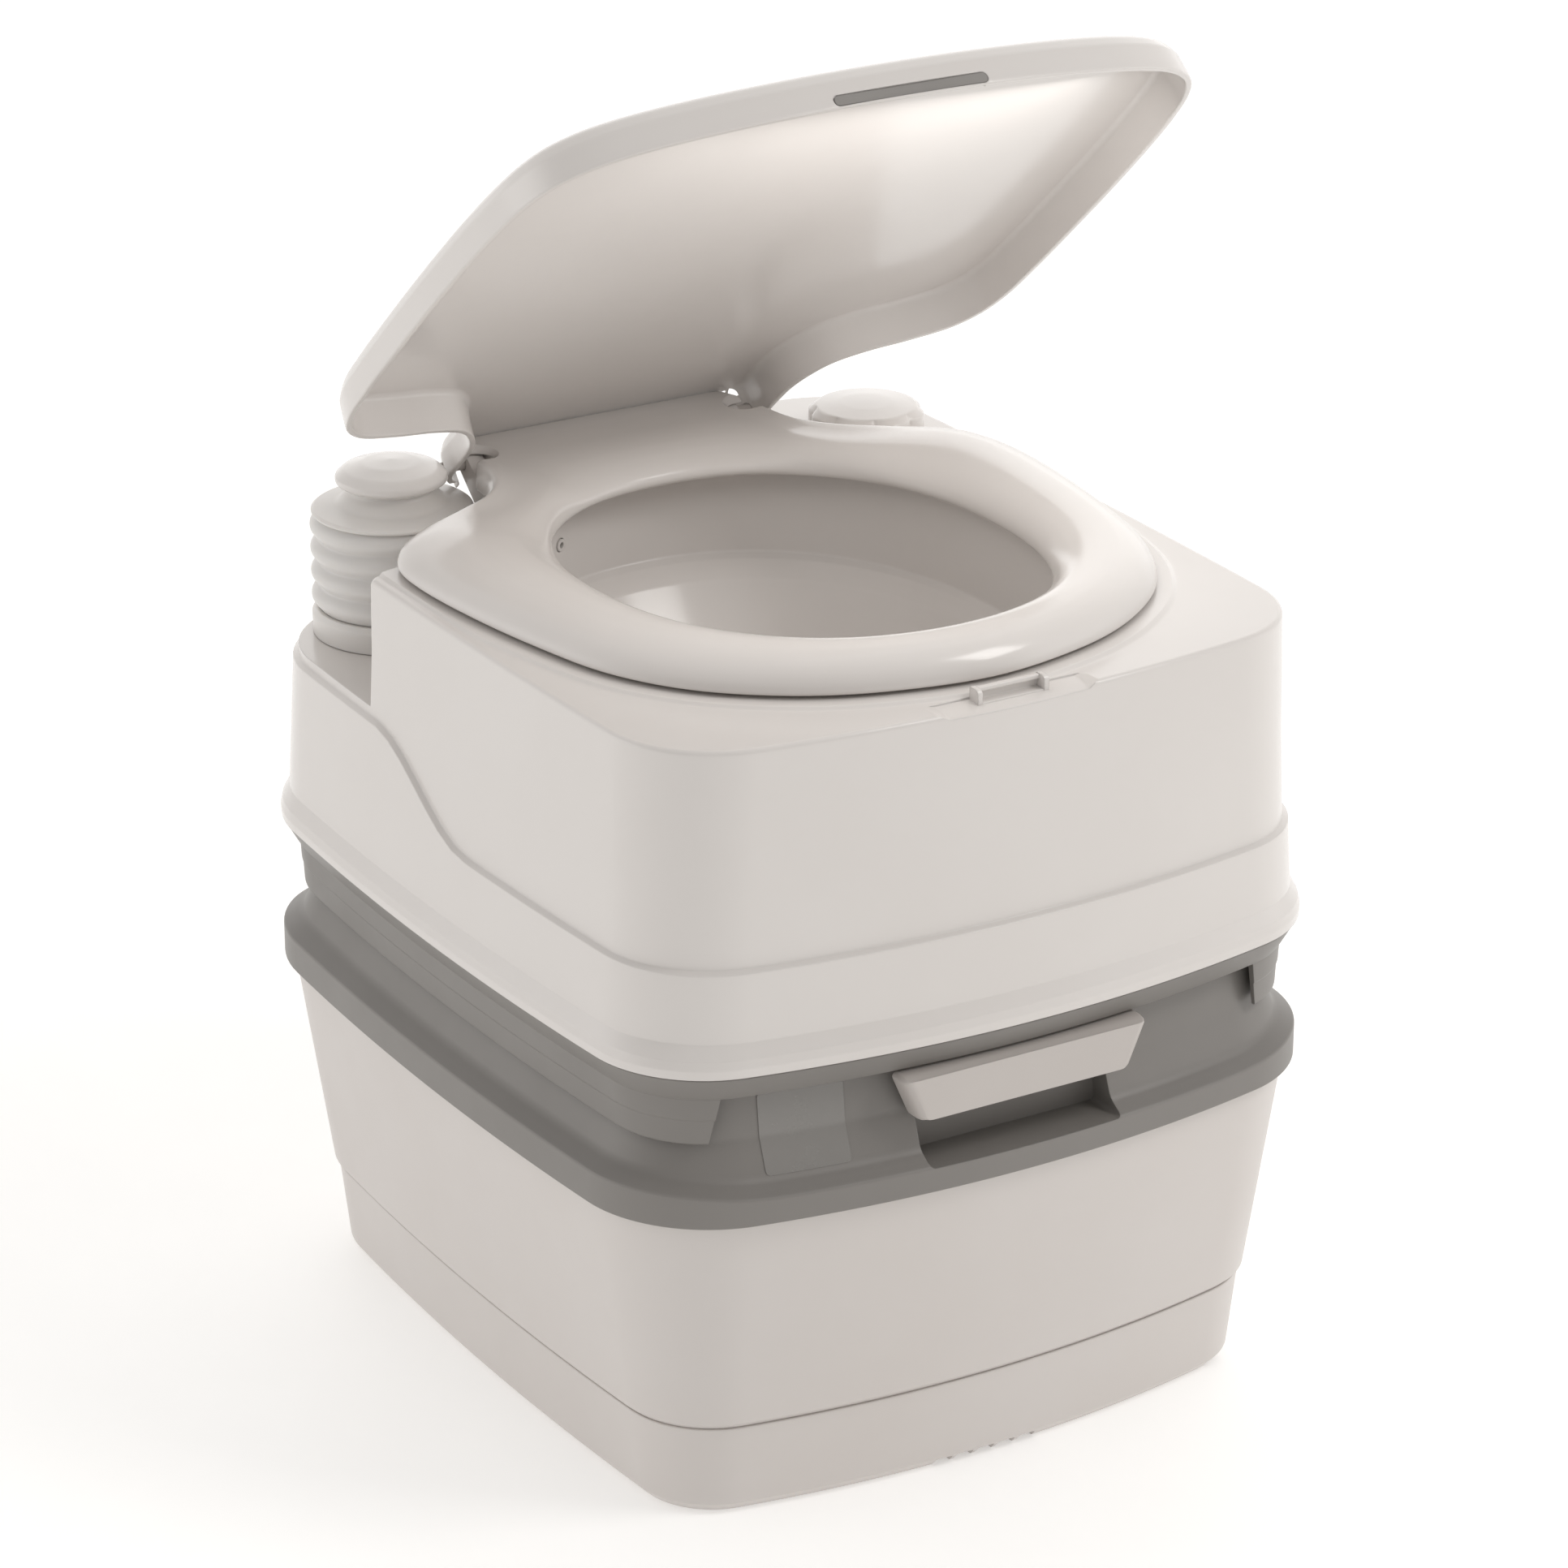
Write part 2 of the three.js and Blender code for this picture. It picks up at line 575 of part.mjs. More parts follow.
function flushNozzle() {
  const profile = [[1.5, -3], [5, -3], [5, 4.8], [8.4, 4.8], [8.4, 7], [2.6, 7], [2.6, 11.5], [1.5, 11.5]];
  const body = turned(profile, 0, 0, 12);
  const cone = turned([[0, -6], [4.6, -6], [7, -2.4], [5, -2], [0, -2]], 0, 0, 12);
  const fan = cut(cone, box(-8, 8, -8, 0, -8, 0));
  return toNozzlePlace(join(body, fan));
}

// ---------------------------------------------------------------- pump
function pumpBase() {
  const { x, y, radius } = PUMP;
  return turned([[5, 302], [9, 302], [9, SHELF_Z + GAP], [radius, SHELF_Z + GAP], [radius, 336],
    [radius - 1.5, 337.5], [36, 337.5], [36, 328], [5, 328]], x, y, 28);
}

function pumpBellows() {
  const folds = 4;
  const valley = 36;
  const wall = 1.4;
  const { bellowsBottom: z0, bellowsTop: z1, radius, x, y } = PUMP;
  const pitch = (z1 - z0) / folds;
  const outside = [[valley + 1, z0]];
  for (let i = 0; i < folds; i += 1) {
    const z = z0 + pitch * i;
    outside.push([radius, z + pitch * 0.35], [radius, z + pitch * 0.65]);
    if (i < folds - 1) outside.push([valley, z + pitch]);
  }
  outside.push([valley + 1, z1]);
  const inside = outside.map(([r, z]) => [r - wall, z]).reverse();
  return turned([...outside, ...inside], x, y, 24);
}

function pumpPlate() {
  const z0 = PUMP.bellowsTop + GAP;
  const profile = [[0, z0], [PUMP.radius - 1, z0], [PUMP.radius - 0.4, z0 + 1.5], [PUMP.radius - 2, 389],
    [21, 390.5], [20, 398], [0, 398]];
  return turned(profile, PUMP.x, PUMP.y, 28);
}

function pumpKnob() {
  const profile = [[0, 398.3], [26.6, 398.3], [27.5, 400], [27.2, 402.5], [24, 406], [17, 409.2], [8, 411],
    [0, 411.4]];
  return turned(profile, PUMP.x, PUMP.y, 28);
}

// ---------------------------------------------------------------- filler
function fillNeck() {
  return turned([[20, 372], [23, 372], [23, DECK_Z + GAP], [28, DECK_Z + GAP], [28, 389.9], [23, 389.9],
    [23, 397.7], [20, 397.7]], FILL.x, FILL.y, 24);
}

function fillCap() {
  const cup = turned([[0, 401.6], [23.6, 401.6], [23.6, 390.2], [27.4, 390.2], [28.4, 394], [27.8, 401],
    [25, 404], [12, 405.2], [0, 405.4]], FILL.x, FILL.y, 32);
  const lobes = [0, 1, 2, 3, 4, 5, 6, 7].map((i) => {
    const angle = (i * Math.PI) / 4;
    const reach = FILL.radius - 5.4;
    return cylinder(5.2, 391, 402, FILL.x + reach * Math.cos(angle), FILL.y + reach * Math.sin(angle), 10);
  });
  const neckRoom = cylinder(23.6, 385, 401.6, FILL.x, FILL.y, 32);
  return cut(join(cup, ...lobes), neckRoom);
}

// ---------------------------------------------------------------- seat and lid
function smoothStep(value, from, to) {
  const t = Math.min(Math.max((value - from) / (to - from), 0), 1);
  return t * t * (3 - 2 * t);
}

// One closed strip round the seat: the share of the way from hole to rim, and the height there.
function seatStrip(share, ringZ, neckZ) {
  return SEAT_OUTLINE.map(([x, y]) => {
    const angle = Math.atan2(y - SEAT_HOLE.cy, x);
    const [hx, hy] = ovalAt(angle, SEAT_HOLE.rx, SEAT_HOLE.ry);
    const neck = smoothStep(Math.sin(angle), 0.45, 0.8);
    return new THREE.Vector3(
      hx + (x - hx) * share,
      SEAT_HOLE.cy + hy + (y - SEAT_HOLE.cy - hy) * share,
      ringZ + (neckZ - ringZ) * neck,
    );
  });
}

function seat() {
  const top = SEAT_TOP_Z;
  const strips = [
    [0, SEAT_BOTTOM_Z, SEAT_BOTTOM_Z], [0, top - 11, top - 11], [0.07, top - 4.5, top - 5],
    [0.22, top - 0.8, top - 2], [0.42, top, top - 2.5], [0.7, top - 2.5, top - 2], [0.88, top - 7, top - 0.6],
    [0.97, top - 11, top - 1.5], [1, top - 14, top - 5], [1, SEAT_BOTTOM_Z + 1.7, SEAT_BOTTOM_Z + 1.7],
    [0.97, SEAT_BOTTOM_Z, SEAT_BOTTOM_Z], [0, SEAT_BOTTOM_Z, SEAT_BOTTOM_Z],
  ].map((strip) => seatStrip(...strip));
  const hollow = cut(
    solid(new LoftGeometry([[0.1, SEAT_BOTTOM_Z - 2], [0.14, top - 7], [0.3, top - 3.2], [0.5, top - 2.8],
      [0.7, top - 5], [0.84, top - 8.5], [0.91, SEAT_BOTTOM_Z - 2], [0.1, SEAT_BOTTOM_Z - 2],
    ].map(([share, z]) => seatStrip(share, z, z)))),
    box(-200, 200, 108, 220, 380, 420),
    ...BUMPER_PLACES.map(([x, y]) => cylinder(9, 385, 420, x, y, 16)),
  );
  const body = cut(solid(new LoftGeometry(strips)), hollow);
  const earRoom = box(66.5, 95, 143, 205, 380, 403.8);
  const behindBarrel = cut(
    box(-100, 100, HINGE.y, 205, 380, 420),
    cylinderAlongX(12.4, -100, 100, HINGE.y, HINGE.z, 28),
  );
  const pinBore = cylinderAlongX(3.2, 50, 90, HINGE.y, HINGE.z, 12);
  const bumperRooms = BUMPER_PLACES.map(([x, y]) => cylinder(6.3, 380, 394, x, y, 16));
  const sideRooms = join(earRoom, pinBore);
  return cut(body, behindBarrel, sideRooms, sideRooms.mirror([1, 0, 0]), ...bumperRooms);
}


const LID_HALF = [
  [0, -208.5], [50, -207], [95, -202.5], [130, -195.5], [152, -186.5], [167, -173], [175, -156],
  [179.5, -134], [182.5, -105], [184.6, -60], [185.1, -15], [184.6, 30], [182.5, 59], [176.5, 77], [165, 89],
  [144, 96], [121, 100.5], [105, 107.5], [96.5, 118], [91.5, 131], [90.2, 147], [90, 165], [87.5, 172],
  [81, 179.5], [74, 187.5], [62, 191.5], [0, 191.5]];

function lidClosed() {
  const outline = smoothOutline(LID_HALF, 1);
  const level = ([z, inset]) => lift(insetOutline(outline, inset), z);
  const outer = loft([[LID_RIM_Z, 0], [404, 1.2], [410, 4], [412.8, 6.5], [LID_TOP_Z, 9.5]].map(level));
  const inner = loft([[LID_RIM_Z - 3, WALL], [404, 4.2], [409, 6.4], [LID_TOP_Z - WALL, 9]].map(level));
  const rearMouth = box(-78.6, 78.6, 172, 205, 380, LID_TOP_Z - WALL);
  const knuckle = cut(
    join(box(79.5, 100, HINGE.y, 205, 380, 420), box(-100, -79.5, HINGE.y, 205, 380, 420)),
    cylinderAlongX(8.4, -100, 100, HINGE.y, HINGE.z, 20),
  );
  const pinBore = cylinderAlongX(3.2, -95, 95, HINGE.y, HINGE.z, 12);
  const fingerSlot = prismAlongY([[-40, 388], [-36, 396.5], [36, 396.5], [40, 388]], -215, -200);
  return cut(outer, inner, rearMouth, knuckle, pinBore, fingerSlot);
}

function rearLatch() {
  const barrel = cut(
    cylinderAlongX(3.6, -19.5, 26.5, LATCH.pivotV, LATCH.pivotZ, 16),
    cylinderAlongX(2.1, -20, 27, LATCH.pivotV, LATCH.pivotZ, 10),
  );
  const profile = [[-11.5, 229], [-11.5, 197.5], [-14.6, 197], [-14.6, 194.5], [-11.5, 193.5], [-11.3, 190],
    [-6.5, 186.4], [-4, 187.6], [-8, 192], [-8, 226]];
  const pinBore = cylinderAlongX(2.1, -20, 27, LATCH.pivotV, LATCH.pivotZ, 10);
  const plate = cut(prismAlongX(profile, -19.5, 26.5), pinBore);
  return toLatchPlace(join(barrel, plate));
}

function latchSpring() {
  const coil = helix(2.9, 0.55, -26.6, -20.4, 3, 0, 0);
  return toLatchPlace(coil.rotate([0, 90, 0]).translate([0, LATCH.pivotV, LATCH.pivotZ]));
}

// ---------------------------------------------------------------- assembly
const toilet = new THREE.Group();
const wasteTank = new THREE.Group();
const freshSection = new THREE.Group();
const lidGroup = new THREE.Group();
toilet.add(wasteTank, freshSection);
freshSection.add(lidGroup);

part('waste_tub', wasteTub(), 'tub', wasteTank);
part('waste_tank_top', wasteTop(), 'grey', wasteTank);
part('level_window', levelWindow(), 'clear', wasteTank);
part('valve_frame', valveFrame(), 'valve', wasteTank);
SCREW_PLACES.forEach(([x, y], i) => part(`valve_screw_${i + 1}`, valveScrew(x, y), 'steel', wasteTank));
part('valve_lip_seal', turned([[VALVE.bore, 213.4], [VALVE.hole, 213.4], [VALVE.hole, 224], [55, 226],
  [VALVE.bore, 226]], 0, VALVE.y, 36), 'rubber', wasteTank);
part('valve_blade', valveBlade(), 'valve', wasteTank);
part('valve_handle', valveHandle(), 'handle', wasteTank);
part('pour_spout', pourSpout(), 'grey', wasteTank);
part('spout_retainer', ring(SPOUT.outer + 0.4, 24, 165.4, 168.6, SPOUT.x, SPOUT.y, 24), 'valve', wasteTank);
const capSeal = onOutletAxis([[12, 17.3], [19.2, 17.3], [19.2, 19.6], [12, 19.6]], 24);
part('spout_cap_seal', capSeal, 'rubber', wasteTank);
part('spout_cap', spoutCap(), 'handle', wasteTank);
part('vent_button', turned([[0, 205.2], [2.6, 205.2], [2.6, 211], [4, 211], [4, 217], [8, 217], [8, 220.6],
  [7, 221.4], [0, 221.4]], VENT.x, VENT.y, 20), 'handle', wasteTank);
part('vent_seal', ring(3, 9.5, 207.6, 210.6, VENT.x, VENT.y, 20), 'rubber', wasteTank);
part('vent_spring', helix(6, 0.4, 214.3, 216.7, 2, VENT.x, VENT.y), 'steel', wasteTank);

part('upper_shell', upperShell(), 'white', freshSection);
part('upper_base', upperBase(), 'grey', freshSection);
part('bowl', bowl(), 'white', freshSection);
part('bowl_gasket', ring(64, 72, 225.6, 227.9, 0, VALVE.y, 36), 'rubber', freshSection);
part('flush_nozzle', flushNozzle(), 'white', freshSection);
const HOSE = [[-111, 156, 306], [-96, 147, 304], [-78, 139, 306], [-64, 137, 318], [-61, 138.5, 340],
  [-59, 138, 358], [-57, 135, 365.4], [-55, 130.9, 366], [-53.2, 127.1, 366]];
part('flush_hose', tube(HOSE, 4.4, 3, 18, 10), 'clear', freshSection);
part('pump_base', pumpBase(), 'bellows', freshSection);
part('pump_bellows', pumpBellows(), 'bellows', freshSection);
part('pump_plate', pumpPlate(), 'bellows', freshSection);
part('pump_knob', pumpKnob(), 'white', freshSection);
part('pump_dip_tube', ring(3, 4.6, 241, 301.7, PUMP.x, PUMP.y, 12), 'clear', freshSection);
const footValve = [[3.2, 228], [8, 228], [9, 230], [9, 238], [6, 240.7], [3.2, 240.7]];
part('pump_foot_valve', turned(footValve, PUMP.x, PUMP.y,
  16), 'valve', freshSection);
part('fill_neck', fillNeck(), 'white', freshSection);
part('fill_cap_seal', ring(18, 23.2, 398, 401.2, FILL.x, FILL.y, 24), 'rubber', freshSection);
part('fill_cap', fillCap(), 'white', freshSection);

const STRIKER = { halfWidth: 19, front: -205.5, back: -198.3, z0: 384.9, z1: 393.6, post: 2.8 };
const striker = cut(
  box(-STRIKER.halfWidth, STRIKER.halfWidth, STRIKER.front, STRIKER.back, STRIKER.z0, STRIKER.z1),
  box(STRIKER.post - STRIKER.halfWidth, STRIKER.halfWidth - STRIKER.post, -210, -200.6, 387, 400),
);
part('latch_striker', striker, 'white', freshSection);
const hingePin = cylinderAlongX(2.8, 58, 89.4, HINGE.y, HINGE.z, 12);
part('hinge_pin_right', hingePin, 'handle', freshSection);
part('hinge_pin_left', hingePin.mirror([1, 0, 0]), 'handle', freshSection);
part('rear_latch', rearLatch(), 'handle', freshSection);
const latchPin = cylinderAlongX(1.7, -31, 31, LATCH.pivotV, LATCH.pivotZ, 10);
part('latch_pin', toLatchPlace(latchPin), 'steel', freshSection);
part('latch_spring', latchSpring(), 'steel', freshSection);
part('seat', seat(), 'white', freshSection);
BUMPER_PLACES.forEach(([x, y], i) => part(
  `seat_bumper_${i + 1}`, cylinder(6, SEAT_BOTTOM_Z - 0.5, 393.7, x, y, 16), 'rubber', freshSection));

lidGroup.position.set(0, HINGE.y, HINGE.z);
lidGroup.rotation.x = -THREE.MathUtils.degToRad(LID_OPEN_DEG);
part('lid', lidClosed().translate([0, -HINGE.y, -HINGE.z]), 'white', lidGroup);

export default toilet;
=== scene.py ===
import json
import math

import bmesh
import bpy
import numpy as np
from mathutils import Matrix, Vector
from mathutils.geometry import delaunay_2d_cdt


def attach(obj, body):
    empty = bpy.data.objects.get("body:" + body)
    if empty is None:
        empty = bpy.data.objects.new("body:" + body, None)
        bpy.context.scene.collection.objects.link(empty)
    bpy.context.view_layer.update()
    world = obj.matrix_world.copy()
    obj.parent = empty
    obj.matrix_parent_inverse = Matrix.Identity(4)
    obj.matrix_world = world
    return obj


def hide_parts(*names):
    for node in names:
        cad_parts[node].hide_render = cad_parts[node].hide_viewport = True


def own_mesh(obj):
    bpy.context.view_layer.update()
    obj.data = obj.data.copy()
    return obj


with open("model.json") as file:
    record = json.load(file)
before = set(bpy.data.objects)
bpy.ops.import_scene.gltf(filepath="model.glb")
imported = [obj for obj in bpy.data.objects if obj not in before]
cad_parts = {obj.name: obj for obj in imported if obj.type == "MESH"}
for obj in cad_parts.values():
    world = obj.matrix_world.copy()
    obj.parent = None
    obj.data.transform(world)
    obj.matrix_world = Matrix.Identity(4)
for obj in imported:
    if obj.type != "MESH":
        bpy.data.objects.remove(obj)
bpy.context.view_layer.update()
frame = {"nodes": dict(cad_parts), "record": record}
MM = 0.001

# ---------------------------------------------------------------- sizes shared with the frame
WALL = 2.4
GAP = 0.3
SEAM_Z, TANK_TOP_Z, LIP_Z, WAIST_Z, SHELF_Z, NOTCH_Z, DECK_Z = 161.6, 222.0, 235.3, 284.0, 324.0, 362.0, 388.0
BRIDGE_Y = 150.0
SEAT_BOTTOM_Z = 391.3
HINGE_Y, HINGE_Z, LID_OPEN_DEG = 170.0, 398.0, 41.3
VALVE_Y = -15.0
PUMP = (-121.0, 161.0)
FILL = (132.0, 132.0)
SPOUT_X, SPOUT_Y = 115.0, 165.0
VENT = (-110.0, 165.0)
LATCH = Matrix.Translation((-95, 218.2, 0)) @ Matrix.Rotation(math.radians(8.23), 4, "Z")
LATCH_V, LATCH_Z = -8.2, 229.0
DECK_EDGE = 3.6
DECK_CORNER = 8.0

# Plan outlines: half width, front and back reach, corner radii, bow of each side.
FOOT = np.array([168.2, 197.5, 197.5, 41, 55, 22, 22, 10])
FLANGE = np.array([195.6, 225, 225, 67, 78, 29, 29, 13])
LIP = np.array([194, 225, 225, 60, 74, 29, 29, 13])
UPPER = np.array([189.2, 220.6, 220.4, 58, 70, 27, 27, 12])
DECK = np.array([178, 211.6, 210, 54, 60, 19, 19, 5])


# ---------------------------------------------------------------- outlines
def circles_meet(a, ra, b, rb):
    gap = b - a
    dist = np.linalg.norm(gap)
    along = (ra * ra - rb * rb + dist * dist) / (2 * dist)
    aside = math.sqrt(max(ra * ra - along * along, 0))
    unit = gap / dist
    foot = a + unit * along
    side = np.array([-unit[1], unit[0]]) * aside
    return max(foot + side, foot - side, key=lambda p: p[0])


def arc(centre, radius, start, end, count):
    angles = start + (end - start) * np.arange(count) / count
    return np.stack([centre[0] + radius * np.cos(angles), centre[1] + radius * np.sin(angles)], 1)


def plan_outline(plan, inset=0.0, counts=(18, 20, 22, 18, 18)):
    """The four-sided outline with rounded corners, counterclockwise from the middle of the front."""
    w, front, back, rf, rb, bow_f, bow_b, bow_s = plan
    radius_f = (w * w + bow_f * bow_f) / (2 * bow_f)
    radius_b = (w * w + bow_b * bow_b) / (2 * bow_b)
    half = (front + back) / 2
    radius_s = (half * half + bow_s * bow_s) / (2 * bow_s)
    cf = np.array([0, -front + radius_f])
    cb = np.array([0, back - radius_b])
    cs = np.array([w - radius_s, (back - front) / 2])
    corner_f = circles_meet(cf, radius_f - rf, cs, radius_s - rf)
    corner_b = circles_meet(cs, radius_s - rb, cb, radius_b - rb)

    def toward(a, b):
        return math.atan2(b[1] - a[1], b[0] - a[0])

    turn_f, turn_sf = toward(cf, corner_f), toward(cs, corner_f)
    turn_sb, turn_b = toward(cs, corner_b), toward(cb, corner_b)
    right = np.concatenate([
        arc(cf, radius_f - inset, -math.pi / 2, turn_f, counts[0]),
        arc(corner_f, rf - inset, turn_f, turn_sf, counts[1]),
        arc(cs, radius_s - inset, turn_sf, turn_sb, counts[2]),
        arc(corner_b, rb - inset, turn_sb, turn_b, counts[3]),
        arc(cb, radius_b - inset, turn_b, math.pi / 2, counts[4]),
        [[0, back - inset]],
    ])
    left = right[1:-1][::-1] * [-1, 1]
    return np.concatenate([right, left])


def mirrored(half):
    half = np.array(half, float)
    left = half[half[:, 0] > 1e-6][::-1] * [-1, 1]
    return np.concatenate([half, left])


def smooth(points, per_span, closed=True):
    """Centripetal Catmull-Rom curve through the points."""
    pts = np.array(points, float)
    n = len(pts)
    out = []
    spans = n if closed else n - 1
    for i in range(spans):
        if closed:
            p0, p1, p2, p3 = (pts[(i + k) % n] for k in (-1, 0, 1, 2))
        else:
            p1, p2 = pts[i], pts[i + 1]
            p0 = pts[i - 1] if i else 2 * p1 - p2
            p3 = pts[i + 2] if i + 2 < n else 2 * p2 - p1
        d = [max(np.linalg.norm(b - a) ** 0.5, 1e-4) for a, b in ((p0, p1), (p1, p2), (p2, p3))]
        t1 = ((p1 - p0) / d[0] - (p2 - p0) / (d[0] + d[1]) + (p2 - p1) / d[1]) * d[1]
        t2 = ((p2 - p1) / d[1] - (p3 - p1) / (d[1] + d[2]) + (p3 - p2) / d[2]) * d[1]
        for k in range(per_span):
            t = k / per_span
            out.append(p1 + t1 * t + (-3 * p1 + 3 * p2 - 2 * t1 - t2) * t ** 2
                       + (2 * p1 - 2 * p2 + t1 + t2) * t ** 3)
    if not closed:
        out.append(pts[-1])
    return np.array(out)


def filleted(corners, steps=5):
    """Open profile through (a, b, radius) corners, each rounded to its radius."""
    out = [np.array(corners[0][:2], float)]
    for before, here, after in zip(corners, corners[1:], corners[2:]):
        p = np.array(here[:2], float)
        u = np.array(before[:2], float) - p
        v = np.array(after[:2], float) - p
        lu, lv = np.linalg.norm(u), np.linalg.norm(v)
        u, v = u / lu, v / lv
        angle = math.acos(max(-1, min(1, float(u @ v))))
        radius = here[2]
        if radius <= 0 or angle > math.pi - 0.02:
            out.append(p)
            continue
        reach = min(radius / math.tan(angle / 2), 0.49 * lu, 0.49 * lv)
        r = reach * math.tan(angle / 2)
        mid = (u + v) / np.linalg.norm(u + v)
        centre = p + mid * (r / math.sin(angle / 2))
        a0 = math.atan2(*(p + u * reach - centre)[::-1])
        a1 = math.atan2(*(p + v * reach - centre)[::-1])
        sweep = (a1 - a0 + math.pi) % (2 * math.pi) - math.pi
        for k in range(steps + 1):
            a = a0 + sweep * k / steps
            out.append(centre + r * np.array([math.cos(a), math.sin(a)]))
    out.append(np.array(corners[-1][:2], float))
    return np.array(out)


def inset_outline(points, distance):
    """Each point of a counterclockwise outline moved inwards along its normal."""
    step = np.roll(points, -1, 0) - np.roll(points, 1, 0)
    step /= np.linalg.norm(step, axis=1)[:, None]
    return points + np.stack([-step[:, 1], step[:, 0]], 1) * distance


def ease(value, low, high):
    t = np.clip((value - low) / (high - low), 0, 1)
    return t * t * (3 - 2 * t)


def oval(cy, rx, ry, z, count=120, power=2.2):
    a = np.arange(count) / count * 2 * math.pi
    r = (np.abs(np.cos(a) / rx) ** power + np.abs(np.sin(a) / ry) ** power) ** (-1 / power)
    return np.stack([r * np.cos(a), cy + r * np.sin(a), np.full(count, float(z))], 1)


def at_height(outline, z):
    return np.column_stack([outline, np.full(len(outline), 1.0) * z])


# ---------------------------------------------------------------- meshes
def mesh(name, verts, faces):
    data = bpy.data.meshes.new(name)
    data.from_pydata([tuple(v) for v in np.asarray(verts, float) * MM], [], [tuple(f) for f in faces])
    piece = bpy.data.objects.new(name, data)
    bpy.context.scene.collection.objects.link(piece)
    tidy = bmesh.new()
    tidy.from_mesh(data)
    bmesh.ops.remove_doubles(tidy, verts=tidy.verts, dist=1e-6)
    bmesh.ops.recalc_face_normals(tidy, faces=tidy.faces)
    tidy.to_mesh(data)
    tidy.free()
    return piece


def crowned_fill(ring, spacing, rise):
    """Triangles that fill a flat ring, with inner points lifted by rise(distance from the edge)."""
    flat = ring[:, :2]
    lo, hi = flat.min(0), flat.max(0)
    grid = [(x, y) for x in np.arange(lo[0], hi[0], spacing) for y in np.arange(lo[1], hi[1], spacing)]
    grid = np.array(grid)
    gaps = np.sqrt(((grid[:, None, :] - flat[None]) ** 2).sum(2)).min(1)
    nxt = np.roll(flat, -1, 0)
    crossing = (flat[None, :, 1] > grid[:, None, 1]) != (nxt[None, :, 1] > grid[:, None, 1])
    drop = np.where(flat[:, 1] == nxt[:, 1], 1e-9, nxt[:, 1] - flat[:, 1])
    cut_x = flat[None, :, 0] + (grid[:, None, 1] - flat[None, :, 1]) * ((nxt - flat)[:, 0] / drop)[None]
    inside = (crossing & (grid[:, None, 0] < cut_x)).sum(1) % 2 == 1
    inner = grid[inside & (gaps > spacing * 0.6)]
    points = [Vector(p) for p in np.concatenate([flat, inner])]
    n = len(flat)
    edges = [(i, (i + 1) % n) for i in range(n)]
    co, _, tris, _, _, _ = delaunay_2d_cdt(points, edges, [], 1, 1e-5)
    z0 = ring[0, 2]
    verts = []
    for p in co:
        edge = float(np.sqrt(((flat - [p.x, p.y]) ** 2).sum(1)).min())
        verts.append((p.x, p.y, z0 + rise(edge)))
    return verts, [tuple(t) for t in tris]


def loft(name, rings, closed=False, fill_first=None, fill_last=None):
    """Quads between rings of equal length. An open loft is capped flat, or by crowned_fill arguments."""
    rings = np.asarray(rings, float)
    m, n = rings.shape[:2]
    verts = rings.reshape(-1, 3).tolist()
    faces = []
    for i in range(m if closed else m - 1):
        a, b = i * n, ((i + 1) % m) * n
        for j in range(n):
            k = (j + 1) % n
            faces.append((a + j, a + k, b + k, b + j))
    if not closed:
        for ring, fill, base in ((rings[0], fill_first, 0), (rings[-1], fill_last, (m - 1) * n)):
            if fill:
                extra, tris = crowned_fill(ring, *fill)
                start = len(verts)
                verts += extra
                faces += [tuple(start + i for i in t) for t in tris]
            else:
                faces.append(tuple(base + i for i in range(n)))
    return mesh(name, verts, faces)


def turned(name, profile, x=0, y=0, count=96):
    """A closed (radius, height) profile turned about a vertical axis."""
    angles = np.arange(count) / count * 2 * math.pi
    rings = [np.stack([x + max(r, 0.02) * np.cos(angles), y + max(r, 0.02) * np.sin(angles),
                       np.full(count, z)], 1) for r, z in profile]
    return loft(name, rings, closed=profile[0][0] > 0)


def prism(name, polygon, low, high, plane="xy"):
    """A polygon raised along the axis that its plane leaves out."""
    place = {"xy": lambda a, b, c: (a, b, c),
             "xz": lambda a, b, c: (a, c, b),
             "yz": lambda a, b, c: (c, a, b)}[plane]
    n = len(polygon)
    verts = [place(a, b, c) for c in (low, high) for a, b in polygon]
    faces = [tuple(range(n)), tuple(range(n, 2 * n))]
    faces += [(i, (i + 1) % n, n + (i + 1) % n, n + i) for i in range(n)]
    return mesh(name, verts, faces)


def block(name, x0, x1, y0, y1, z0, z1):
    return prism(name, [(x0, y0), (x1, y0), (x1, y1), (x0, y1)], z0, z1)


def rod(name, radius, start, end, count=32):
    """A round bar between two points."""
    start, end = Vector(start), Vector(end)
    length = (end - start).length
    bar = turned(name, [(0, 0), (radius, 0), (radius, length), (0, length)], count=count)
    turn = (end - start).to_track_quat("Z", "Y").to_matrix().to_4x4()
    bar.data.transform(Matrix.Translation(start * MM) @ turn)
    return bar


def wire(name, points, radius, sides):
    """A round wire along a line of points."""
    path = np.array(points, float)
    tangents = np.gradient(path, axis=0)
    tangents /= np.linalg.norm(tangents, axis=1)[:, None]
    side = np.cross(tangents[0], [0, 0, 1] if abs(tangents[0][2]) < 0.9 else [1, 0, 0])
    rings = []
    angles = np.arange(sides) / sides * 2 * math.pi
    for p, t in zip(path, tangents):
        side = side - t * (side @ t)
        side /= np.linalg.norm(side)
        up = np.cross(t, side)
        ring = np.cos(angles)[:, None] * side + np.sin(angles)[:, None] * up
        rings.append(p + ring * radius)
    return loft(name, rings)


def moved(piece, matrix):
    scaled = Matrix.Translation(matrix.to_translation() * MM) @ matrix.to_3x3().to_4x4()
    piece.data.transform(scaled)
    return piece


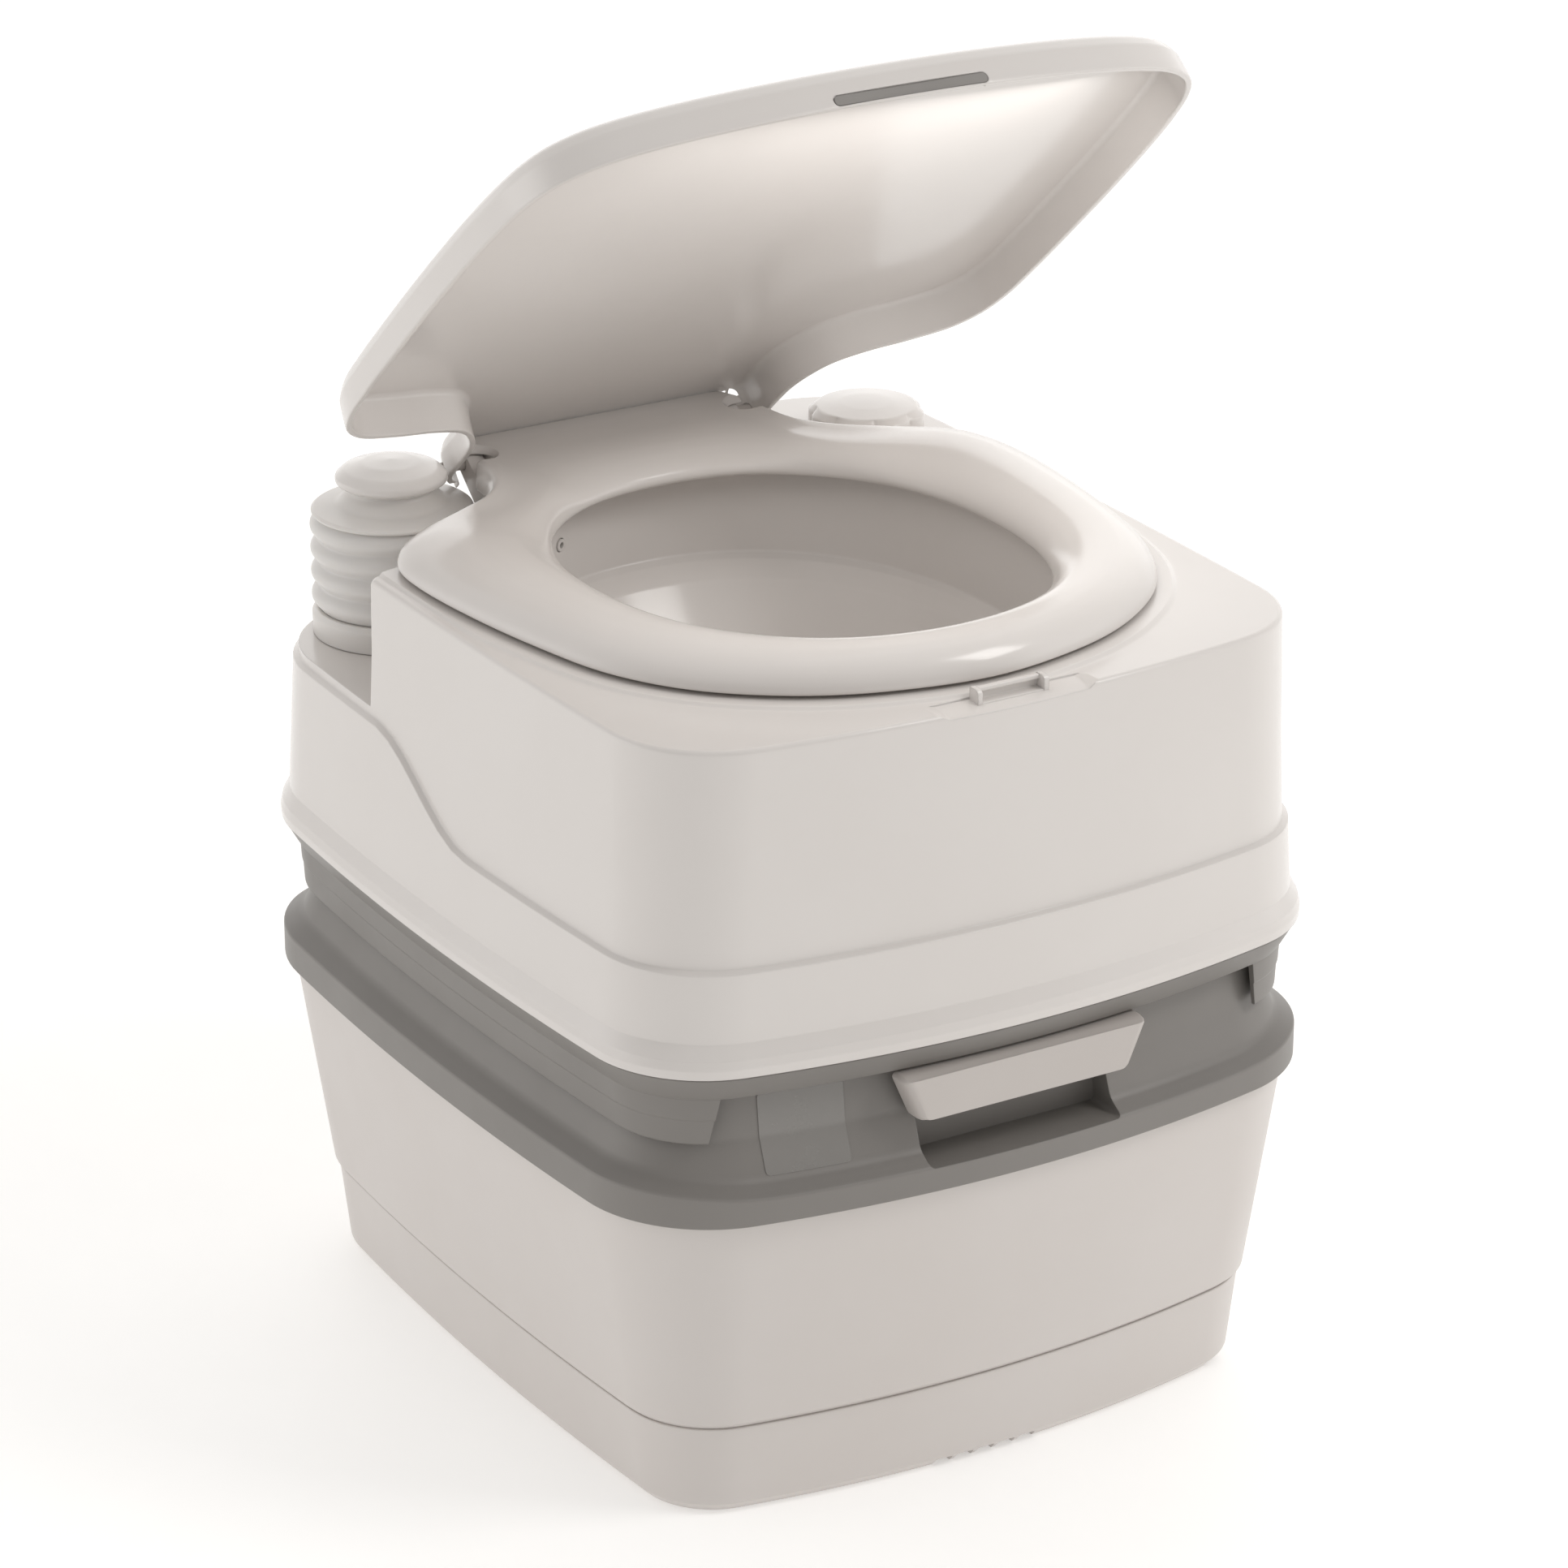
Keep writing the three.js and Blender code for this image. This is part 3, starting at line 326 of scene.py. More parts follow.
def applied(piece):
    graph = bpy.context.evaluated_depsgraph_get()
    done = bpy.data.meshes.new_from_object(piece.evaluated_get(graph))
    piece.modifiers.clear()
    piece.data = done
    return piece


def boolean(piece, tools, operation):
    """Applies the tools one by one, and welds the points each of them leaves on top of one another."""
    for tool in tools:
        step = piece.modifiers.new("cut", "BOOLEAN")
        step.object = tool
        step.operation = operation
        step.solver = "EXACT"
        applied(piece)
        welded = bmesh.new()
        welded.from_mesh(piece.data)
        bmesh.ops.remove_doubles(welded, verts=welded.verts, dist=0.000001)
        bmesh.ops.dissolve_degenerate(welded, edges=welded.edges, dist=0.000001)
        welded.to_mesh(piece.data)
        welded.free()
        bpy.data.objects.remove(tool)
    return piece


def cut(piece, *tools):
    return boolean(piece, tools, "DIFFERENCE")


def join(piece, *tools):
    return boolean(piece, tools, "UNION")


def soften(piece, width, segments):
    """Rounds the sharp edges of a simple piece."""
    step = piece.modifiers.new("edge", "BEVEL")
    step.width = width * MM
    step.segments = segments
    step.limit_method = "ANGLE"
    step.angle_limit = math.radians(30)
    return applied(piece)


def finish_surface(piece, angle=32):
    piece.data.shade_smooth()
    piece.data.set_sharp_from_angle(angle=math.radians(angle))
    step = piece.modifiers.new("normals", "WEIGHTED_NORMAL")
    step.keep_sharp = True
    return piece


# ---------------------------------------------------------------- materials
def noise(tree, coords, scale, detail=2.0, roughness=0.5):
    node = tree.nodes.new("ShaderNodeTexNoise")
    node.inputs["Scale"].default_value = scale
    node.inputs["Detail"].default_value = detail
    node.inputs["Roughness"].default_value = roughness
    tree.links.new(coords.outputs["Object"], node.inputs["Vector"])
    return node


def spread(tree, source, low, high, start=0.3, stop=0.7):
    node = tree.nodes.new("ShaderNodeMapRange")
    node.inputs["From Min"].default_value = start
    node.inputs["From Max"].default_value = stop
    node.inputs["To Min"].default_value = low
    node.inputs["To Max"].default_value = high
    tree.links.new(source, node.inputs["Value"])
    return node.outputs["Result"]


def plastic(name, color, shade, roughness, grain=900.0, depth=0.00002, edge=0.0, coat=0.0, metal=0.0,
            sss=0.0):
    """Moulded plastic or metal: faint mottling, handling marks in the gloss, fine surface grain."""
    material = bpy.data.materials.new(name)
    material.use_nodes = True
    tree = material.node_tree
    shader = tree.nodes["Principled BSDF"]
    coords = tree.nodes.new("ShaderNodeTexCoord")
    mottle = noise(tree, coords, 9.0, 4.0, 0.55)
    ramp = tree.nodes.new("ShaderNodeValToRGB")
    ramp.color_ramp.elements[0].position = 0.32
    ramp.color_ramp.elements[0].color = (*shade, 1)
    ramp.color_ramp.elements[1].position = 0.66
    ramp.color_ramp.elements[1].color = (*color, 1)
    tree.links.new(mottle.outputs["Fac"], ramp.inputs["Fac"])
    tree.links.new(ramp.outputs["Color"], shader.inputs["Base Color"])
    smudge = noise(tree, coords, 26.0, 5.0, 0.62)
    tree.links.new(spread(tree, smudge.outputs["Fac"], roughness - 0.035, roughness + 0.05),
                   shader.inputs["Roughness"])
    fine = noise(tree, coords, grain, 1.0)
    bump = tree.nodes.new("ShaderNodeBump")
    bump.inputs["Strength"].default_value = 0.22
    bump.inputs["Distance"].default_value = depth
    tree.links.new(fine.outputs["Fac"], bump.inputs["Height"])
    if edge:
        bevel = tree.nodes.new("ShaderNodeBevel")
        bevel.samples = 4
        bevel.inputs["Radius"].default_value = edge * MM
        tree.links.new(bevel.outputs["Normal"], bump.inputs["Normal"])
    tree.links.new(bump.outputs["Normal"], shader.inputs["Normal"])
    shader.inputs["Metallic"].default_value = metal
    shader.inputs["Coat Weight"].default_value = coat
    shader.inputs["Coat Roughness"].default_value = 0.12
    if sss:
        shader.inputs["Subsurface Weight"].default_value = sss
        shader.inputs["Subsurface Radius"].default_value = (0.006, 0.005, 0.004)
        shader.inputs["Subsurface Scale"].default_value = 1.0
    return material


WHITE = (0.70, 0.668, 0.643)
LOOKS = {
    "white_gloss": plastic("white_gloss", WHITE, (0.685, 0.651, 0.625), 0.18, 1500, 0.000006,
                           edge=1.0, coat=0.15),
    "tub_white": plastic("tub_white", (0.64, 0.603, 0.578), (0.626, 0.586, 0.558), 0.4, 1100,
                         0.00002, edge=1.0),
    "grey_plastic": plastic("grey_plastic", (0.222, 0.208, 0.194), (0.206, 0.193, 0.18), 0.42,
                            1100, 0.00002, edge=0.8),
    "light_grey": plastic("light_grey", (0.54, 0.502, 0.475), (0.52, 0.482, 0.455), 0.4, 1000,
                          edge=0.6),
    "bellows_plastic": plastic("bellows_plastic", (0.70, 0.675, 0.65), (0.682, 0.655, 0.628),
                               0.34, 800, sss=0.15),
    "valve_plastic": plastic("valve_plastic", (0.07, 0.066, 0.062), (0.055, 0.052, 0.05), 0.4,
                             900, edge=0.5),
    "rubber_seal": plastic("rubber_seal", (0.022, 0.022, 0.022), (0.03, 0.029, 0.028), 0.62,
                           1500, 0.00005),
    "clear_plastic": plastic("clear_plastic", (0.255, 0.243, 0.23), (0.235, 0.225, 0.212), 0.24,
                             600),
    "steel": plastic("steel", (0.58, 0.58, 0.58), (0.5, 0.5, 0.5), 0.3, 1600, metal=1.0),
}


def place(piece, body, slot, *nodes, angle=32):
    """Gives a finished piece its look and its place on a body, in the stead of CAD nodes."""
    finish_surface(piece, angle)
    piece.data.materials.clear()
    piece.data.materials.append(LOOKS[slot])
    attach(piece, body)
    if nodes:
        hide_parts(*nodes)
    return piece


# ---------------------------------------------------------------- waste tank
def tub_plan(z):
    if z <= 50:
        t = 0.18 * max(z - 4, 0) / 46
        return FOOT + (FLANGE - FOOT) * t, 0.0
    t = 0.25 + 0.75 * (z - 50) / (SEAM_Z - 50)
    return FOOT + (FLANGE - FOOT) * t, 5.0 * (z - 50) / (SEAM_Z - 50)


def tub_rings(profile):
    rings = []
    for inset, z in profile:
        plan, lean = tub_plan(z)
        rings.append(at_height(plan_outline(plan, inset + lean), z))
    return rings


def build_tub():
    outer = filleted([(13, 0, 0), (5.2, 0, 1.6), (0, 5.6, 2.2), (0, 47.2, 0.4), (1.5, 48.2, 0.4),
                      (1.5, 49.9, 0.2), (0.6, 50.1, 0), (0, 50.7, 0), (0, SEAM_Z - GAP - 0.6, 0),
                      (0.6, SEAM_Z - GAP, 0)])
    inner = filleted([(WALL, SEAM_Z - GAP, 0), (WALL, 54, 3), (WALL + 1, 8, 8), (24, WALL, 0)])
    tub = loft("tub_skin", tub_rings(np.concatenate([outer, inner])))
    slots = []
    for x in (-25.2, -13.6, -2.0, 9.6, 21.2):
        arch = filleted([(x - 5.1, -2, 0), (x - 4.6, 4.4, 1.6), (x + 4.6, 4.4, 1.6), (x + 5.1, -2, 0)], 3)
        slots.append(prism("tool", arch, -240, -187, "xz"))
    corner = block("tool", -6, 6, -9, 30, -2, 4.2)
    turn = Matrix.Rotation(math.radians(38), 4, "Z")
    slots.append(moved(corner, Matrix.Translation((141, -176, 0)) @ turn))
    cut(tub, *slots)
    return place(tub, "waste_tank", "tub_white", "waste_tub")


def tank_top_rings(profile, side_rise):
    """Rings of the grey top. The flange stands higher along the sides than at the front."""
    rings = []
    for inset, z in profile:
        outline = plan_outline(FLANGE, inset)
        side = ease(np.abs(outline[:, 0]), 120, 185)
        share = float(ease(z, 162, 172) * (1 - ease(z, 178, 200)))
        rings.append(at_height(outline, z + side_rise * side * share))
    return rings


def build_tank_top():
    outer = filleted([(WALL, SEAM_Z, 0), (0, SEAM_Z, 0.8), (0, 174.2, 1.8), (3.4, 176.2, 3.5), (9.5, 180, 9),
                      (16.2, 198, 14), (19, TANK_TOP_Z, 2.5), (30, TANK_TOP_Z, 0)], 7)
    inner = filleted([(30, TANK_TOP_Z - WALL, 0), (21.6, TANK_TOP_Z - WALL, 2), (19, 198, 14), (12.5, 181, 8),
                      (WALL, 174, 4), (WALL, SEAM_Z, 0)], 5)
    top = loft("tank_top_skin", tank_top_rings(outer, 4.0))
    cavity = loft("tool", tank_top_rings(inner, 4.0)[::-1])
    wells = [well(WALL) for well in (finger_well, spout_pocket, vent_well)]
    cut(cavity, *wells)
    under = cut(top, cavity)
    u_block = moved(block("tool", -17, 17, -20, -12.2, 198, 203), LATCH)
    join(under, u_block)
    cut(under, finger_well(0), spout_pocket(0), vent_well(0),
        turned("tool", [(0, 212), (57.9, 212), (57.9, 230), (0, 230)], 0, VALVE_Y),
        block("tool", -59, 59, -230, -180, 208.7, 214.5),
        turned("tool", [(0, 160), (19.4, 160), (19.4, 176), (0, 176)], SPOUT_X, SPOUT_Y),
        turned("tool", [(0, 200), (4.5, 200), (4.5, 216), (0, 216)], *VENT))
    return place(under, "waste_tank", "grey_plastic", "waste_tank_top")


def finger_well(grow):
    corners = filleted([(-51.4 - grow, 206, 0), (-52 - grow, 173.5 - grow, 2.5),
                        (52 + grow, 173.5 - grow, 2.5), (51.4 + grow, 206, 0)])
    return prism("tool", corners, -240, -199 + grow, "xz")


def spout_pocket(grow):
    corners = filleted([(-60 - grow, 240, 0), (-60 - grow, 130 - grow, 6), (150 + grow, 130 - grow, 6),
                        (150 + grow, 240, 0)])
    return prism("tool", [tuple(p) for p in corners], 172 - grow, TANK_TOP_Z + 5)


def vent_well(grow):
    return turned("tool", [(0, 214 - grow), (12 + grow, 214 - grow), (12 + grow, 228), (0, 228)], *VENT)


def build_vent_spring():
    """Two turns of wire under the vent button."""
    angles = np.linspace(0, 4 * math.pi, 49)
    line = [(VENT[0] + 6 * math.cos(a), VENT[1] + 6 * math.sin(a),
             214.4 + 2.2 * a / (4 * math.pi)) for a in angles]
    spring = place(wire("vent_spring_skin", line, 0.35, 10), "waste_tank", "steel", "vent_spring", angle=60)
    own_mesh(spring)


def build_window():
    skin = filleted([(8.6, 178.6, 0), (9.5, 180, 9), (16.2, 198, 14), (19, TANK_TOP_Z + 1, 0)], 7) + [-0.5, 0]
    back = skin[::-1] + [1.2, 0]
    band = loft("level_window_skin", tank_top_rings(np.concatenate([skin, back]), 4.0), closed=True)
    pane = filleted([(-127, 200, 0), (-127, 181, 2), (-86, 181, 2), (-86, 218.5, 2), (-127, 218.5, 2),
                     (-127, 200, 0)], 3)
    boolean(band, [prism("tool", pane[1:], -235, -170, "xz")], "INTERSECT")
    return place(band, "waste_tank", "clear_plastic", "level_window")


def build_handle():
    face = filleted([(0, 197, 0), (56.5, 197, 4.5), (67, 221, 2.2), (-67, 221, 2.2), (-56.5, 197, 4.5),
                     (0, 197, 0)], 5)
    levels = ((-211, 0.0, 0.0), (-216.5, 0.0, 0.0), (-219.6, 0.5, 0.2), (-221.6, 1.7, 0.7),
              (-222.7, 3.4, 1.7), (-223, 5.4, 3.0))
    rings = []
    for y, side, lift in levels:
        pts = inset_outline(face[:-1], min(side, 1.4))
        pts[:, 0] -= np.sign(pts[:, 0]) * max(side - 1.4, 0) * ease(np.abs(pts[:, 0]), 40, 60)
        rings.append(np.column_stack([pts[:, 0], np.full(len(pts), y), pts[:, 1]]))
    bar = loft("handle_skin", rings)
    cut(bar, block("tool", -58.3, 58.3, -219.3, -205, 209.7, 213.3))
    return place(bar, "valve", "light_grey", "valve_handle", angle=25)


# ---------------------------------------------------------------- fresh-water section
def upper_plan(z):
    if z <= 243:
        return LIP
    if z <= 250:
        return LIP + (UPPER - LIP) * (z - 243) / 7
    return UPPER + (DECK - UPPER) * min((z - 250) / (DECK_Z - 4 - 250), 1)


def waist_height(outline):
    """Height of the step in the wall: level all round, but rising to the pump shelf at the rear left."""
    rise = ease(outline[:, 1], -30, 66) * ease(-outline[:, 0], 12, 76)
    return WAIST_Z + rise * (SHELF_Z - 5 - WAIST_Z)


def upper_ring(inset, z):
    """One ring of the outer wall. Heights between lip and deck shift with the waist line."""
    outline = plan_outline(upper_plan(z), inset)
    waist = waist_height(outline)
    below = np.clip((z - 252) / (WAIST_Z - 252), 0, 1)
    above = np.clip((DECK_Z - 6 - z) / (DECK_Z - 6 - WAIST_Z), 0, 1)
    lift = (waist - WAIST_Z) * np.minimum(below, above)
    z_new = z + lift
    spots = [plan_outline(upper_plan(value), inset) for value in (250, DECK_Z - 4)]
    share = np.clip((z_new - 250) / (DECK_Z - 4 - 250), 0, 1)[:, None]
    if 252 < z < DECK_Z - 6:
        outline = spots[0] * (1 - share) + spots[1] * share
    return np.column_stack([outline, z_new])


def shelf_cutter(grow):
    """Room over the pump shelf, with a round upright corner at the side wall and a round deck edge."""
    edge = [(-172, 78.5), (-166, 80), (-146, 85), (-118, 89), (-100, 96), (-89, 108), (-82, 124), (-78, 142)]
    curve = smooth(edge, 6, closed=False)
    heading = np.gradient(curve, axis=0)
    heading /= np.linalg.norm(heading, axis=1)[:, None]
    inward = np.stack([heading[:, 1], -heading[:, 0]], 1)
    levels = [(SHELF_Z - grow, 0.0), (353, 0.0), (370, 0.0)]
    if not grow:
        levels += [(DECK_Z - DECK_EDGE + DECK_EDGE * math.sin(a), DECK_EDGE - DECK_EDGE * math.cos(a))
                   for a in np.linspace(0, math.pi / 2, 8)]
    levels.append((430, 0.0 if grow else DECK_EDGE))
    rows = []
    for z, flare in levels:
        shift = grow + flare
        depth = DECK_Z - 4 - min(z, DECK_Z)
        wall_x = np.interp(z, (320, 353, 370, 385), (2.8, 2.0, 0.8, 0)) - 178 - depth * 11.2 / 134
        rear_y = 206 + depth * 0.077
        pts = curve + inward * shift
        centre = np.array([wall_x + DECK_CORNER, 0.0])
        centre[1] = 80 + (-DECK_CORNER + 0.2425 * (centre[0] + 166)) / 0.97
        angles = np.radians(np.linspace(14, 76, 12))
        left = centre + (DECK_CORNER - shift) * np.stack([-np.cos(angles), np.sin(angles)], 1)
        keep = resample(pts[pts[:, 0] > left[-1, 0] + 0.5], 50)
        bend = 4.0
        right = [(-78 + shift + bend * (1 - math.cos(a)), rear_y - bend * (1 - math.sin(a)))
                 for a in np.linspace(0, math.pi / 2, 6)]
        ring = np.vstack([[(-240, left[0, 1])], left, keep, right, [(-70 + shift, 250), (-240, 250)]])
        rows.append(at_height(ring, z))
    return loft("tool", rows)


def resample(points, count):
    gaps = np.linalg.norm(np.diff(points, axis=0), axis=1)
    along = np.concatenate([[0], np.cumsum(gaps)])
    want = np.linspace(0, along[-1], count)
    return np.stack([np.interp(want, along, points[:, k]) for k in (0, 1)], 1)


def hinge_notch(grow):
    corners = filleted([(-90, 240, 0), (-90, BRIDGE_Y - grow, 0), (94 + grow, BRIDGE_Y - grow, 5),
                        (94 + grow, 240, 0)])
    return prism("tool", [tuple(p) for p in corners], NOTCH_Z - grow, 430)


def front_scoop(grow):
    """The finger scoop in front of the striker. Its floor runs down to the front wall."""
    rings = []
    for y, floor in ((-198 + grow, 387.4), (-203, 387.2), (-210, 385.6), (-216, 382.4), (-230, 372)):
        z = floor - grow
        ring = filleted([(0, 400, 0), (-54 - grow, 400, 0), (-44 - grow, 388.6, 3), (-37 - grow, z, 4.5),
                         (37 + grow, z, 4.5), (44 + grow, 388.6, 3), (54 + grow, 400, 0), (0, 400, 0)],
                        6)[:-1]
        rings.append(np.column_stack([ring[:, 0], np.full(len(ring), y), ring[:, 1]]))
    return loft("tool", rings)


SEAT_HALF = [(0, -190), (50, -181.5), (84, -167.5), (115, -145), (133, -124), (148, -95), (158.5, -52),
             (166, -3), (168.8, 40), (166.5, 64), (159.5, 79), (144.5, 88), (121.5, 94), (103, 101),
             (90, 115), (83, 133), (81, 150), (80, 164), (77, 174), (72, 184), (60, 186), (0, 186)]
SEAT_OUTLINE = smooth(mirrored(SEAT_HALF), 7)
BUMPERS = [(-62, -160), (62, -160), (-132, 60), (132, 60)]
HOLE_Y, HOLE_RX, HOLE_RY = -22.0, 109.0, 130.0
BOWL_Y, BOWL_RX, BOWL_RY = -15.5, 116.5, 147.5


def rest_ring(inset, z):
    """One ring of the raised rest under the seat, kept inside the round edge of the deck."""
    outline = inset_outline(SEAT_OUTLINE, inset)
    reach = 177.6 - np.interp(z, (386.5, 388, 388.2, 389.7), (2.2, 2.7, 4.2, 5.7))
    outline[:, 0] = np.clip(outline[:, 0], -reach, reach)
    return at_height(outline, z)


def build_upper_shell():
    outer = filleted([(2.8, LIP_Z + GAP, 0), (0.2, LIP_Z + GAP, 0.6), (0, 240, 2), (0.2, 244.5, 3.5),
                      (0, 251, 4), (0, WAIST_Z - 0.4, 0.5), (2.8, WAIST_Z + 1.0, 0.8), (2.0, 330, 0),
                      (0.8, 360, 0), (0, DECK_Z - 5, 0), (0, DECK_Z, DECK_EDGE), (12, DECK_Z, 0)], 6)
    rings = [upper_ring(inset, z) for inset, z in outer]
    shell = loft("upper_shell_skin", rings)
    inner = [(2.6, LIP_Z - 3), (2.8, 243), (WALL, 251), (WALL, WAIST_Z), (WALL + 2, WAIST_Z + 3),
             (WALL + 1, DECK_Z - 8), (WALL + 3, DECK_Z - WALL), (14, DECK_Z - WALL)]
    cavity = loft("tool", [at_height(plan_outline(upper_plan(z), inset), z) for inset, z in inner])
    cut(cavity, shelf_cutter(WALL), hinge_notch(WALL), front_scoop(WALL))
    rest = filleted([(-15, DECK_Z - 1.5, 0), (-14, DECK_Z - 0.05, 0.4), (-9.5, DECK_Z + 0.2, 3),
                     (-7.2, SEAT_BOTTOM_Z - 1.6, 1), (2, SEAT_BOTTOM_Z - 1.6, 0)], 5)
    plateau = loft("tool", [rest_ring(inset, z) for inset, z in rest])
    join(shell, plateau)
    opening = [oval(BOWL_Y, BOWL_RX + WALL + GAP, BOWL_RY + WALL + GAP, z)
               for z in (DECK_Z - 12, DECK_Z + 12)]
    cut(shell, cavity)
    cut(shell, shelf_cutter(0), hinge_notch(0), front_scoop(0), loft("tool", opening),
        turned("tool", [(0, 300), (9.6, 300), (9.6, 340), (0, 340)], *PUMP),
        turned("tool", [(0, 370), (23.4, 370), (23.4, 400), (0, 400)], *FILL))
    ears = []
    for x0, x1 in ((-77, -68), (68, 77)):
        profile = [(148, 376), (153, 376), (174, 394.4), (175.4, 398), (173.8, 401.8), (170, 403.4),
                   (166, 402.2), (148, 388.5)]
        ears.append(prism("tool", profile, x0, x1, "yz"))
    join(shell, *ears)
    cut(shell, rod("tool", 3.1, (-95, HINGE_Y, HINGE_Z), (95, HINGE_Y, HINGE_Z)))
    return place(shell, "upper_tank", "white_gloss", "upper_shell", angle=28)


def build_upper_base():
    tray = loft("upper_base_skin", [
        at_height(plan_outline(LIP, inset), z) for inset, z in filleted(
            [(16, 222.3, 0), (8.4, 222.3, 1.5), (6.2, 226, 3), (1, LIP_Z - 0.1, 0.6),
             (3.7, LIP_Z - 0.1, 0), (3.7, 241, 0), (7, 241, 0)], 4)])
    hollow = loft("tool", [at_height(plan_outline(LIP, inset), z) for inset, z in ((12, 224.7), (7, 245))])
    cut(hollow, moved(block("tool", -32, 32, -16, 10, 215, 236), LATCH))
    cut(tray, hollow)
    band = filleted([(12.8, 222.6, 0), (8.8, 222.6, 0), (9.4, 212, 0.6), (10.0, 211, 0.6), (10.6, 199, 1.2),
                     (13, 199, 1)], 3)
    skirt = loft("tool", [at_height(plan_outline(LIP, inset), z) for inset, z in band], closed=True)
    for side in (-1, 1):
        opening = prism("tool", [(-146, 232), (-153, 192), (145, 192), (138, 232)], min(0, side * 240),
                        max(0, side * 240), "xz")
        cut(skirt, opening)
    join(tray, skirt)
    cut(tray, moved(block("tool", -27, 27, -13, 20, 215, 234), LATCH),
        moved(rod("tool", 2, (-34, LATCH_V, LATCH_Z), (34, LATCH_V, LATCH_Z)), LATCH),
        turned("tool", [(0, 215), (62, 215), (62, 232), (0, 232)], 0, VALVE_Y))
    return place(tray, "upper_tank", "grey_plastic", "upper_base")


def build_bowl():
    outer = [oval(VALVE_Y, 60, 60, 226.3, power=2), oval(VALVE_Y, 60, 60, 237, power=2),
             oval(VALVE_Y, 63, 63, 240), oval(BOWL_Y, 118.4, 149.4, 342),
             oval(BOWL_Y, BOWL_RX + WALL, BOWL_RY + WALL, 378), oval(BOWL_Y, 123, 154.5, 380.5),
             oval(BOWL_Y, 123, 154.5, DECK_Z - WALL - GAP),
             oval(BOWL_Y, BOWL_RX + WALL, BOWL_RY + WALL, DECK_Z - WALL - GAP),
             oval(BOWL_Y, BOWL_RX + WALL, BOWL_RY + WALL, DECK_Z + 0.2),
             oval(BOWL_Y, BOWL_RX + WALL * 0.6, BOWL_RY + WALL * 0.6, DECK_Z + 1),
             oval(BOWL_Y, BOWL_RX + 0.4, BOWL_RY + 0.4, DECK_Z + 0.8)]
    profile = filleted([(0, 386.5, 0), (0, 344, 2), (-2.6, 341.5, 2.4), (-8, 334, 10), (-26, 300, 60),
                        (-58, 246, 18), (-64.4, 238, 6), (-64.5, 226.3, 0)], 8)
    inner = []
    for off, z in profile:
        share = max(0.0, min(1.0, -off / 64.5))
        rx = BOWL_RX + off
        ry = BOWL_RY + off * (BOWL_RY - 52) / 64.5
        cy = BOWL_Y + (VALVE_Y - BOWL_Y) * share
        inner.append(oval(cy, rx, ry, z, power=2.2 - 0.2 * share))
    shell = loft("bowl_skin", outer + inner, closed=True)
    bore = [(0, -10), (3.5, -10), (3.5, 2.7), (5.3, 2.7), (5.3, 10), (0, 10)]
    cut(shell, nozzle_place(turned("tool", bore)))
    flange = turned("tool", [(61, 228.2), (72, 228.2), (72, 231), (61, 231)], 0, VALVE_Y)
    join(shell, flange)
    return place(shell, "upper_tank", "white_gloss", "bowl")


def nozzle_place(piece):
    turn = Matrix.Rotation(math.radians(25.8), 4, "Z") @ Matrix.Rotation(math.radians(-90), 4, "X")
    return moved(piece, Matrix.Translation((-50, 120.6, 366)) @ turn)


def build_nozzle():
    body = turned("flush_nozzle_skin", [(1.5, -0.5), (2.9, -0.5), (3.2, -0.2), (3.2, 3), (5, 3), (5, 4.8),
                                        (8, 4.8), (8.4, 5.2), (8.4, 6.6), (8, 7), (2.6, 7), (2.6, 11.5),
                                        (1.5, 11.5)])
    return place(nozzle_place(body), "upper_tank", "white_gloss", "flush_nozzle")


def build_striker():
    ledge = filleted([(-198.3, 385.2, 0), (-198.3, 393.2, 0.8), (-201.4, 393.2, 0.7), (-201.4, 391.2, 0.4),
                      (-199.4, 390.8, 0.4), (-199.4, 387.3, 0.3), (-205.2, 387.3, 0.3), (-205.2, 385.2, 0)],
                     3)
    bracket = prism("latch_striker_skin", ledge, -18, 18, "yz")
    posts = []
    for x in (-18.9, 16.3):
        side = filleted([(-198.3, 385.2, 0), (-198.3, 393.6, 0.8), (-205.4, 393.6, 2.6),
                         (-205.4, 385.2, 0)], 5)
        posts.append(prism("tool", side, x, x + 2.6, "yz"))
    join(bracket, *posts)
    soften(bracket, 0.35, 2)
    return place(bracket, "upper_tank", "white_gloss", "latch_striker")


